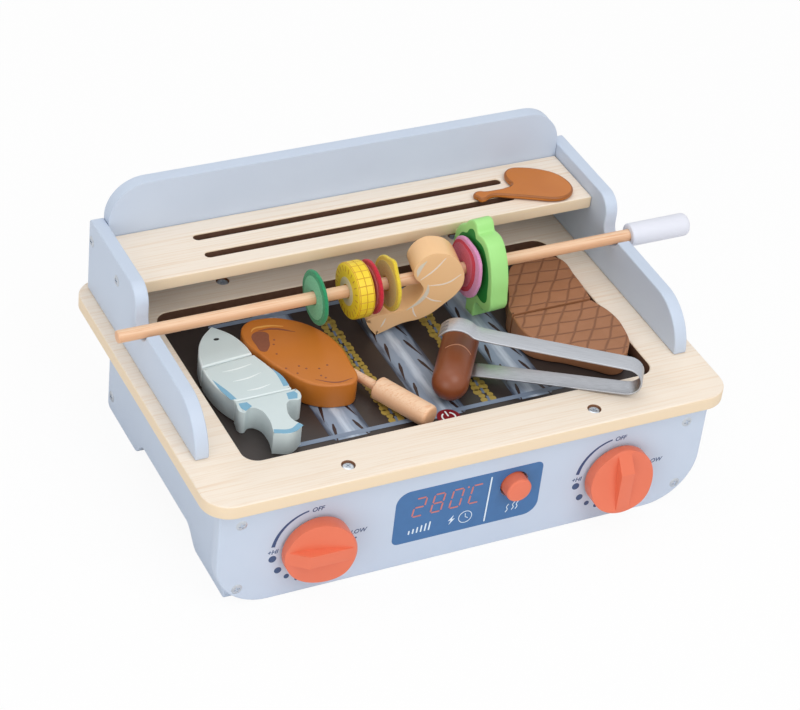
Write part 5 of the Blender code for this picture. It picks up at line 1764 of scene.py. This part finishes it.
        # The pale bands are painted highlights near the shrimp's edges.
        for word, marks, width, taper, lift, finish in (("lines", SHRIMP_LINES, 0.0011, 0.35, 0.0, CREAM),
                                                        ("bands", SHRIMP_HIGHLIGHT_BANDS, 0.003, 0.1, -0.00004, SHRIMP_HIGHLIGHT)):
            shapes = [brushed_line(scaled(points, size, size), width, taper, lift) for points in marks]
            publish(f"shrimp_{word}", moved(joined(*shapes), face), finish, "shrimp")

    def build_ham(self) -> None:
        """The pink felt slice with a crimson line and a rose middle."""
        x, thick, width, height = 0.0604, FELT_THICK, 0.0445, 0.0465
        turn = self.spot(x) @ UPRIGHT_SIDE
        outline = through(scaled(HAM_SHARES, width, height))
        work = plate((outline, circle((0, 0), self.thread, 32)), thick, 0.0013, 4)
        thing = publish("ham_felt", moved(fuzzed(work), turn), PINK_FELT, "ham", ("ham_slice",))
        for name, share, level, offset, finish in (("ham_crimson_line", 0.84, 0.00035, 0.0026, CRIMSON_FELT),
                                                   ("ham_rose_middle", 0.72, 0.0006, 0.0036, ROSE_FELT)):
            shape = through(scaled(HAM_SHARES, width * share, height * share, (offset, 0.0)))
            sides = []
            for side in (-1, 1):
                inner = plate((shape, circle((0, 0), self.thread, 32)), 2 * level)
                sides.append(moved(inner, shift(0, 0, side * thick / 2)))
            publish(name, moved(joined(*sides), turn), finish, "ham")

    def build_broccoli(self) -> None:
        """The wooden broccoli, its dark crown painted on both faces."""
        width, height, thick = 0.0545, 0.0755, 0.0145
        turn = turn_about(4, "Z") @ UPRIGHT_SIDE
        place = self.spot(0.072) @ turn
        outline = through(scaled(BROCCOLI_SHARES, width, height), (0, 1, 8, 11))
        work = plate((outline,), thick, 0.0018, 4)
        publish("broccoli_body", moved(work, place), BROCCOLI, "broccoli", ("broccoli",))
        crown = on_both_faces(ink_shape(through(scaled(CROWN_SHARES, width, height), (6,))), thick)
        publish("broccoli_crown", moved(crown, place), LEAF, "broccoli")


def on_both_faces(mark: BMesh, thick: float) -> BMesh:
    """A mark on both flat faces of a slice about Z.

    Args:
        mark: The mark at height zero, which is freed.
        thick: How thick the slice is.

    Returns:
        Both marks as one shape.
    """
    sides = []
    for side in (-1, 1):
        flip = Matrix.Diagonal((1, 1, side, 1))
        sides.append(moved(mark.copy(), shift(0, 0, side * thick / 2) @ flip))
    mark.free()
    return tidy(joined(*sides))


def fuzzed(work: BMesh, depth: float = 0.00018) -> BMesh:
    """Push a felt piece's surface in and out a little."""
    for vert in work.verts:
        vert.co += vert.normal * depth * noise.noise(vert.co * 900)
    return work


# Play food in the well


# Outlines in thousandths of a width and a length, the same as the solids'
FISH_SHARES = {
    "head": ((-500, 172), (-420, 290), (-230, 415), (30, 500), (230, 410), (340, 300), (365, 200)),
    "body": ((-500, 160), (-505, 100), (-440, -60), (-330, -158), (590, -152), (560, -60), (470, 80),
             (370, 190)),
    "tail": ((-345, -168), (-330, -262), (-190, -236), (-75, -262), (-25, -350), (-60, -430), (-90, -470),
             (160, -500), (390, -452), (300, -390), (320, -310), (430, -246), (600, -250), (665, -205),
             (645, -162))}
FISH_CORNERS = {"head": (0, 3, 6), "body": (0, 3, 4, 7), "tail": (0, 6, 8, 14)}
CHICKEN_SHARES = ((-500, 330), (-380, 480), (-100, 500), (150, 420), (370, 250), (490, 10), (480, -250),
                  (400, -480), (180, -500), (-80, -420), (-300, -190), (-440, 80))
STEAK_SHARES = {
    "back": ((-480, 52), (-455, 120), (-380, 200), (-230, 380), (-80, 490), (150, 505), (400, 490),
             (440, 270), (405, 52)),
    "front": ((-485, 40), (-500, -80), (-460, -180), (-340, -250), (-200, -300), (20, -410), (220, -495),
              (400, -420), (490, -270), (495, -110), (405, 40))}
STEAK_CORNERS = {"back": (0, 8), "front": (0, 10)}
DRUMSTICK_SHARES = ((-473, 20), (-445, 121), (-397, 140), (-355, 94), (-250, 71), (-169, 79), (-85, 180),
                    (-91, 341), (-80, 594), (-37, 747), (26, 813), (100, 772), (183, 675), (282, 493),
                    (355, 285), (400, -18), (405, -308), (375, -518), (310, -672), (235, -722), (151, -686),
                    (38, -539), (-81, -373), (-203, -219), (-285, -123), (-341, -129), (-400, -208),
                    (-442, -194), (-455, -101))
SHRIMP_SHARES = ((-186, 3), (-262, 100), (-262, 205), (-130, 352), (0, 362), (115, 320), (230, 180),
                 (272, 40), (240, -105), (90, -275), (-110, -430), (-340, -492), (-500, -570), (-600, -622),
                 (-690, -505), (-722, -430), (-640, -385), (-430, -350), (-270, -280), (-175, -170),
                 (-148, -70))
SHRIMP_LINES = (((-192, 44), (-57, 162), (48, 300)),
                ((-103, -35), (97, -10), (232, 86)),
                ((-115, -170), (-43, -217), (55, -241)),
                ((-241, -290), (-225, -358), (-190, -420)),
                ((-517, -418), (-532, -464), (-556, -520)))
# Pale bands near the shrimp's edges, painted as highlights.
SHRIMP_HIGHLIGHT_BANDS = (((-228, 90), (-215, 180), (-150, 275)),
                ((-105, -20), (-105, -107), (-170, -220), (-300, -325)))
HAM_SHARES = ((-500, 120), (-400, 400), (-60, 500), (290, 420), (460, 180), (480, -140), (330, -420),
              (30, -500), (-300, -380), (-460, -130))
BROCCOLI_SHARES = ((-170, -510), (30, -510), (60, -350), (170, -300), (420, -290), (490, -80), (480, 190),
                   (405, 300), (270, 385), (190, 455), (60, 490), (-40, 400), (-220, 395), (-370, 290),
                   (-480, 110), (-530, -100), (-525, -270), (-350, -335), (-210, -330))
CROWN_SHARES = ((390, 60), (385, 180), (320, 255), (215, 300), (150, 370), (60, 395), (-10, 330),
                (-190, 320), (-310, 230), (-400, 90), (-430, -80), (-420, -220), (-330, -250), (-150, -215),
                (100, -210), (330, -205), (395, -80))


@dataclass
class WellFood:
    """The fish in three bites, the chicken leg, the steak in two bites and the shelf's drumstick."""

    thick: float = 0.018
    fish_place: Point = (-0.1285, -0.0045)
    fish_size: Point = (0.046, 0.128)
    chicken_place: Point = (-0.081, 0.0105)
    chicken_size: Point = (0.062, 0.088)
    chicken_thick: float = 0.02
    steak_place: Point = (0.1205, -0.0015)
    steak_size: Point = (0.0735, 0.125)
    drumstick_place: Point = (0.1338, 0.0916)
    drumstick_size: Point = (0.088, 0.031)
    drumstick_thick: float = 0.004
    rounding: float = 0.0015

    def build(self) -> None:
        """Make each food and its painted marks."""
        for bite, shares in FISH_SHARES.items():
            outline = through(scaled(shares, *self.fish_size, self.fish_place), FISH_CORNERS[bite])
            node = f"fish_{bite}"
            # The fish's rounded rims take a paler paint as a painted highlight.
            self.lay(f"{node}_block", outline, self.thick, (FISH, FISH_RIM_HIGHLIGHT), node, (node,), Slot.FISH)
        self.paint_fish()
        for bite, shares in STEAK_SHARES.items():
            outline = through(scaled(shares, *self.steak_size, self.steak_place), STEAK_CORNERS[bite])
            node = f"steak_{bite}"
            self.lay(f"{node}_block", outline, self.thick, (STEAK,), node, (node,), Slot.STEAK)
        outline = through(scaled(CHICKEN_SHARES, *self.chicken_size, self.chicken_place))
        self.lay("chicken_leg_meat", outline, self.chicken_thick, (ROAST,), "chicken", ("chicken_meat",),
                 Slot.ROAST)
        self.build_bone()
        self.paint_chicken()
        self.build_drumstick()

    def lay(self, name: str, outline: list[Point], thick: float, finish: Sequence[Finish], body: str,
            nodes: Sequence[str], slot: Slot) -> None:
        """A flat wooden food on the well's floor.

        Args:
            name: The piece's name.
            outline: Its outline.
            thick: How thick it is.
            finish: Its finish, and that of its rim if it has one.
            body: The body that it rides on.
            nodes: CAD nodes that it stands for.
            slot: The record's finish that it takes; not used.
        """
        work = plate((outline,), thick, self.rounding, 4, len(finish) - 1)
        moved(work, shift(0, 0, WELL_FLOOR + thick / 2))
        publish(name, work, finish, body, nodes)

    def on_top(self, name: str, shapes: Sequence[BMesh], thick: float, finish: Finish, body: str) -> None:
        """Painted marks on the top of a food."""
        work = moved(joined(*shapes), shift(0, 0, WELL_FLOOR + thick))
        publish(name, work, finish, body)

    def paint_fish(self) -> None:
        """Eye, scales' gleam and blue fins."""
        eye = [(-0.1296 + 0.0021 * math.cos(turn), 0.044 + 0.0013 * math.sin(turn))
               for turn in (2 * math.pi * step / 24 for step in range(24))]
        self.on_top("fish_eye", [ink_shape(eye)], self.thick, BLACK, "fish_head")
        gleams = [brushed_line(points, 0.0012) for points in
                  (((-0.1397, 0.008), (-0.1297, 0.0081), (-0.1172, 0.0103)),
                   ((-0.1369, -0.0042), (-0.1261, -0.0038), (-0.1147, -0.0008)),
                   ((-0.1315, -0.0166), (-0.1229, -0.0167), (-0.1135, -0.0148)))]
        self.on_top("fish_gleams", gleams, self.thick, GLEAM, "fish_body")
        left = [(-0.1497, 0.002), (-0.149, -0.01), (-0.1462, -0.0225), (-0.142, -0.0228),
                (-0.1448, -0.012)]
        right = [(-0.1056, 0.001), (-0.1052, -0.008), (-0.106, -0.02), (-0.1018, -0.0202),
                 (-0.1022, -0.009)]
        fins = [ink_shape(through(shape, (0, 2, 3), steps=5)) for shape in (left, right)]
        self.on_top("fish_body_fins", fins, self.thick, SEA, "fish_body")
        tail_left = [(-0.1428, -0.028), (-0.1368, -0.0283), (-0.1352, -0.0335), (-0.1412, -0.0368),
                     (-0.1432, -0.033)]
        tail_right = [(-0.1072, -0.0277), (-0.1012, -0.0272), (-0.1, -0.0305), (-0.1022, -0.0352),
                      (-0.1085, -0.0345)]
        stripe = through([(-0.1318, -0.0632), (-0.12, -0.0662), (-0.1112, -0.0618)], closed=False)
        shapes = [ink_shape(shape) for shape in (tail_left, tail_right)]
        shapes.append(stroke(stripe, (0.0042,), blunt=True))
        self.on_top("fish_tail_fins", shapes, self.thick, SEA, "fish_tail")

    def paint_chicken(self) -> None:
        """A pale glaze stroke, a seared mark and a few pores."""
        mark = through([(-0.1032, 0.04), (-0.094, 0.0375), (-0.0955, 0.03), (-0.099, 0.0215),
                        (-0.1045, 0.0178), (-0.1068, 0.0262)], steps=6)
        pores = [ink_shape(circle(spot, 0.0008, 12)) for spot in
                 ((-0.0923, 0.0283), (-0.0947, 0.0236), (-0.0971, 0.0128), (-0.0974, -0.0044),
                  (-0.0878, -0.0048), (-0.0841, -0.009), (-0.092, -0.012), (-0.0755, -0.0118),
                  (-0.0685, -0.01), (-0.0775, -0.0195), (-0.0754, -0.0228))]
        bow = brushed_line([(-0.083, -0.0225), (-0.07, -0.03), (-0.0575, -0.029)], 0.0012)
        swoop = brushed_line([(-0.099, 0.0415), (-0.088, 0.0405), (-0.0745, 0.0325)], 0.002)
        dark = [ink_shape(mark), bow, *pores, swoop]
        self.on_top("chicken_seared_marks", dark, self.chicken_thick, ROAST_DARK, "chicken")
        glaze = brushed_line([(-0.104, 0.042), (-0.101, 0.0448), (-0.095, 0.0452), (-0.087, 0.044),
                              (-0.08, 0.041)], 0.0017, 0.3)
        self.on_top("chicken_glaze", [glaze], self.chicken_thick, ROAST_PALE, "chicken")

    def build_bone(self) -> None:
        """The chicken's turned bone, half in the meat."""
        start, span, radius, handle, edge = 0.04, 0.047, 0.0035, 0.0085, 0.0025
        end = start + span
        profile = [(0, end)] + arc((handle - edge, end - edge), edge, 90, 0, 15)
        profile += [(handle, start + 0.0012), (handle - 0.0012, start), (radius, start), (radius, 0), (0, 0)]
        turn = turn_about(-64, "Z") @ ALONG_X
        place = shift(-0.056, 0.0045, WELL_FLOOR + handle + JOINT_GAP)
        publish("chicken_leg_bone", moved(lathe(profile, 40), place @ turn), BEECH, "chicken",
                ("chicken_bone",))

    def build_drumstick(self) -> None:
        """The thin drumstick on the shelf."""
        outline = through(scaled(DRUMSTICK_SHARES, *self.drumstick_size, self.drumstick_place))
        work = plate((outline,), self.drumstick_thick, 0.0015, 4, 1)
        shelf_top = BOARD_TOP + Uprights.shelf_height + Uprights.shelf_thick
        level = shelf_top + JOINT_GAP + self.drumstick_thick / 2
        moved(work, shift(0, 0, level))
        publish("drumstick_cutout", work, (ROAST, ROAST_RIM), "drumstick", ("drumstick",))


# Tongs


@dataclass
class Tongs:
    """Spring tongs bent from one strap, with the sausage in their lower jaw."""

    place: Point = (0.12001, -0.09996)
    turn_deg: float = 145.1
    strap: float = 0.0013
    width: float = 0.0153
    bend: float = 0.0109
    arm: float = 0.1088
    spread: float = 0.01559
    jaw: float = 0.015
    jaw_root_deg: float = 52.0
    jaw_tip_deg: float = 62.0
    rim_front: float = BaseBox.well_front
    sausage_radius: float = 0.0132
    sausage_length: float = 0.075
    sausage_overhang: float = 0.035
    slash_levels: Point = (-0.0005, 0.0195)

    def jaw_middle(self, side: int) -> Point:
        """Middle of a jaw's arc in the strap's plane: upper jaw 1, lower jaw -1."""
        root = math.radians(self.jaw_root_deg)
        return (self.arm + self.jaw * math.sin(root), side * (self.spread - self.jaw * math.cos(root)))

    def pose(self) -> Matrix:
        """Place of the strap's own plane: X along the arms, Y up, Z across the strap.

        Returns:
            The place, in the grill's own place.
        """
        turn = math.radians(self.turn_deg)
        reach = (self.rim_front - self.place[1]) / math.sin(turn)
        depth = self.bend + self.strap / 2 + (self.spread - self.bend) * reach / self.arm
        middle, offset = self.jaw_middle(1)
        jaw_depth = offset + self.jaw + self.strap / 2
        dip = math.atan((BOARD_TOP + depth - WELL_FLOOR - jaw_depth) / (middle - reach))
        height = BOARD_TOP + JOINT_GAP + depth + reach * math.tan(dip)
        spot = shift(self.place[0], self.place[1], height)
        return spot @ turn_about(self.turn_deg, "Z") @ turn_about(math.degrees(dip), "Y") @ UPRIGHT_FRONT

    def arm_line(self, side: int) -> list[Point]:
        """Middle line of one arm from its root to its jaw's tip.

        Args:
            side: Upper arm 1, lower arm -1.

        Returns:
            Its middle line.
        """
        root, tip = side * (90 + self.jaw_root_deg), side * (90 - self.jaw_tip_deg)
        jaw = arc(self.jaw_middle(side), self.jaw, root, tip, 5)
        start = Vector((0, side * self.bend))
        end = Vector(jaw[0])
        straight = [tuple(start.lerp(end, share / 8)) for share in range(8)]
        return straight + jaw

    def build(self) -> None:
        """Make the strap, its slits and the sausage."""
        bend = arc((0, 0), self.bend, 90, 270, 7.5)
        line = relaxed(self.arm_line(1)[::-1] + bend[1:-1] + self.arm_line(-1))
        pose = self.pose()
        half = shift(0, 0, self.width / 2)
        left, right = both_sides(line, [self.strap] * len(line))
        work = plate((left + right[::-1],), self.width, 0.00035, 3)
        cutters = [self.slit(index) for index in range(3)]
        work = carve("tongs_blank", work, cutters, 0.00006)
        thing = publish("tongs_strap", moved(work, pose @ half), STRAP, "",
                        ("tongs_lower_arm", "tongs_upper_arm"), CRISP_ANGLE)
        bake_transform(thing)
        self.build_sausage(pose)

    def slit(self, index: int) -> BMesh:
        """Cutter of one slit in the upper jaw, near its tip.

        Args:
            index: Which of the three slits.

        Returns:
            The cutter.
        """
        middle = Vector((*self.jaw_middle(1), 0))
        turn = math.radians(90 - self.jaw_tip_deg + 20)
        spot = middle + Vector((math.cos(turn), math.sin(turn), 0)) * self.jaw
        outline = round_box(-0.0028, 0.0028, -0.00055, 0.00055, (0.0005,) * 4)
        work = plate((outline,), 0.008)
        stand = Matrix.Rotation(turn - math.pi / 2, 4, "Z") @ turn_about(90, "X")
        across = (index - 1) * 0.0045
        return moved(work, Matrix.Translation(spot + Vector((0, 0, across))) @ stand)

    def build_sausage(self, pose: Matrix) -> None:
        """The sausage across the lower jaw, with two pale slashes.

        Args:
            pose: The strap's own place.
        """
        radius = self.sausage_radius
        straight = self.sausage_length / 2 - radius
        end = arc((0, straight), radius, 90, 0, 7.5)
        profile = [(max(across, 0), level) for across, level in end]
        profile += [(radius, straight / 2), (radius, 0), (radius, -straight / 2)]
        profile += [(max(across, 0), -level) for across, level in reversed(end)]
        drop = self.jaw - self.strap / 2 - radius - JOINT_GAP
        along, low = self.jaw_middle(-1)
        place = pose @ shift(along, low - drop, self.sausage_length / 2 - self.sausage_overhang)
        publish("grilled_sausage", moved(lathe(profile, 48), place), SAUSAGE, "sausage", ("sausage",))
        cuts = [self.slash(radius, level) for level in self.slash_levels]
        publish("sausage_slashes", moved(joined(*cuts), place), SLASH, "sausage")

    def slash(self, radius: float, level: float) -> BMesh:
        """A curved pale slash that follows the sausage's round.

        Args:
            radius: The sausage's radius.
            level: Where it crosses the sausage.

        Returns:
            The slash.
        """
        work = bmesh.new()
        rows = 18
        previous: list[BMVert] = []
        for step in range(rows + 1):
            share = step / rows
            turn = math.radians(52 + 90 * share)
            bow = 0.003 * math.sin(math.pi * share)
            wide = 0.00065 * math.sin(math.pi * min(max(share, 0.04), 0.96)) ** 0.5
            ring = []
            section = ((-0.0001, -wide), (0.0003, -wide * 0.6), (0.0003, wide * 0.6), (-0.0001, wide))
            for out, offset in section:
                reach = radius + out
                ring.append(work.verts.new((reach * math.cos(turn), reach * math.sin(turn),
                                            level + bow + offset)))
            if previous:
                for first in range(4):
                    second = (first + 1) % 4
                    work.faces.new((previous[first], previous[second], ring[second], ring[first]))
            else:
                work.faces.new(ring)
            previous = ring
        work.faces.new(previous[::-1])
        return tidy(work)


def relaxed(line: Sequence[Point], rounds: int = 2) -> list[Point]:
    """A line whose kinks are eased, its ends kept.

    Args:
        line: The line.
        rounds: How often it is eased.

    Returns:
        The eased line.
    """
    points = [Vector(point) for point in line]
    for _ in range(rounds):
        eased = [points[0]]
        for before, point, after in zip(points, points[1:], points[2:]):
            eased.append(point * 0.6 + (before + after) * 0.2)
        points = eased + [points[-1]]
    return [tuple(point) for point in points]


# Studio


@dataclass
class Studio:
    """Pale floor, plain soft light and the camera."""

    camera_place: tuple[float, float, float] = (-0.76762, -1.31378, 1.22226)
    azimuth_deg: float = 29.39
    elevation_deg: float = 36.87
    roll_deg: float = 6.75
    lens: float = 118.85
    frame_shift: Point = (0.01206, -0.0027)
    camera_white: float = 0.93
    world_light: float = 0.58

    def build(self) -> None:
        """Set up floor, light and camera."""
        self.lay_floor()
        self.light()
        self.set_camera()
        bpy.context.scene.view_settings.view_transform = "Standard"

    def lay_floor(self) -> None:
        """A broad floor that the camera sees as white, but for the grill's shadow."""
        work = bmesh.new()
        bmesh.ops.create_grid(work, x_segments=4, y_segments=4, size=3.0)
        floor = as_object("studio_floor", work)
        recipe = Recipe("matt_white_studio_floor", 0.9)
        recipe.shader.inputs["Base Color"].default_value = srgb("#F2F2F2")
        glow = recipe.add("Emission", None, {"Strength": 1.0})
        path = recipe.add("LightPath")
        share = recipe.add("Math", {"operation": "MULTIPLY"}, {
            0: path.outputs["Is Camera Ray"], 1: self.camera_white})
        mixer = recipe.add("MixShader", None, {
            0: share.outputs[0], 1: recipe.shader.outputs[0], 2: glow.outputs[0]})
        surface = recipe.tree.nodes["Material Output"].inputs["Surface"]
        recipe.tree.links.new(mixer.outputs[0], surface)
        floor.data.materials.append(recipe.material)

    def light(self) -> None:
        """Even surrounding light, a broad key from the front and above, and a weak fill."""
        world = bpy.data.worlds.new("white_studio")
        bpy.context.scene.world = world
        world.use_nodes = True
        tree = world.node_tree
        back = tree.nodes["Background"]
        back.inputs["Color"].default_value = YES
        path = add_node(tree, "LightPath")
        seen = add_node(tree, "Math", {"operation": "MAXIMUM"}, {
            0: path.outputs["Is Camera Ray"], 1: path.outputs["Is Glossy Ray"]})
        clear = add_node(tree, "Math", {"operation": "MAXIMUM"}, {
            0: seen.outputs[0], 1: path.outputs["Is Transmission Ray"]})
        level = add_node(tree, "MapRange", None, {
            "Value": clear.outputs[0], "To Min": self.world_light, "To Max": 1.0})
        tree.links.new(level.outputs[0], back.inputs["Strength"])
        self.add_lamp("key_softbox", (0.3, -1.6, 2.0), 1.6, 21.0)
        self.add_lamp("top_softbox", (-0.2, 0.2, 2.2), 1.8, 9.0)
        self.add_lamp("fill_softbox", (-2.2, -1.6, 0.7), 1.6, 15.0)

    def add_lamp(self, name: str, spot: tuple[float, float, float], size: float, power: float) -> None:
        """A square softbox that looks at the grill.

        Args:
            name: Its name.
            spot: Where it hangs.
            size: Its width.
            power: Its power in watts.
        """
        lamp = bpy.data.lights.new(name, "AREA")
        lamp.size = size
        lamp.energy = power
        thing = bpy.data.objects.new(name, lamp)
        bpy.context.scene.collection.objects.link(thing)
        thing.location = spot
        thing.rotation_euler = (Vector((0, 0, 0.1)) - Vector(spot)).to_track_quat("-Z", "Y").to_euler()

    def set_camera(self) -> None:
        """The camera at the photograph's viewing angle."""
        turn, drop, roll = (math.radians(value) for value in
                            (self.azimuth_deg, self.elevation_deg, self.roll_deg))
        forward = Vector((math.sin(turn) * math.cos(drop), math.cos(turn) * math.cos(drop), -math.sin(drop)))
        level = Vector((math.cos(turn), -math.sin(turn), 0))
        up = level.cross(forward)
        right = level * math.cos(roll) + up * math.sin(roll)
        top = -level * math.sin(roll) + up * math.cos(roll)
        data = bpy.data.cameras.new("photo_camera")
        data.lens = self.lens
        data.sensor_width = 36.0
        data.shift_x, data.shift_y = self.frame_shift
        camera = bpy.data.objects.new("photo_camera", data)
        bpy.context.scene.collection.objects.link(camera)
        pose = Matrix((right, top, -forward)).transposed().to_4x4()
        pose.translation = Vector(self.camera_place)
        camera.matrix_world = pose
        bpy.context.scene.camera = camera


def main() -> None:
    """Dress the grill, piece by piece."""
    logging.basicConfig(level=logging.INFO, format="%(message)s")
    base = BaseBox()
    uprights = Uprights()
    base.build()
    uprights.build()
    Fasteners().build(base, uprights)
    Dial(Side.LEFT, 0.0).build()
    Dial(Side.RIGHT, -90.0).build()
    Display().build()
    BurnerPrint().build()
    Skewer().build()
    WellFood().build()
    Tongs().build()
    Studio().build()


if __name__ == "__main__":
    main()
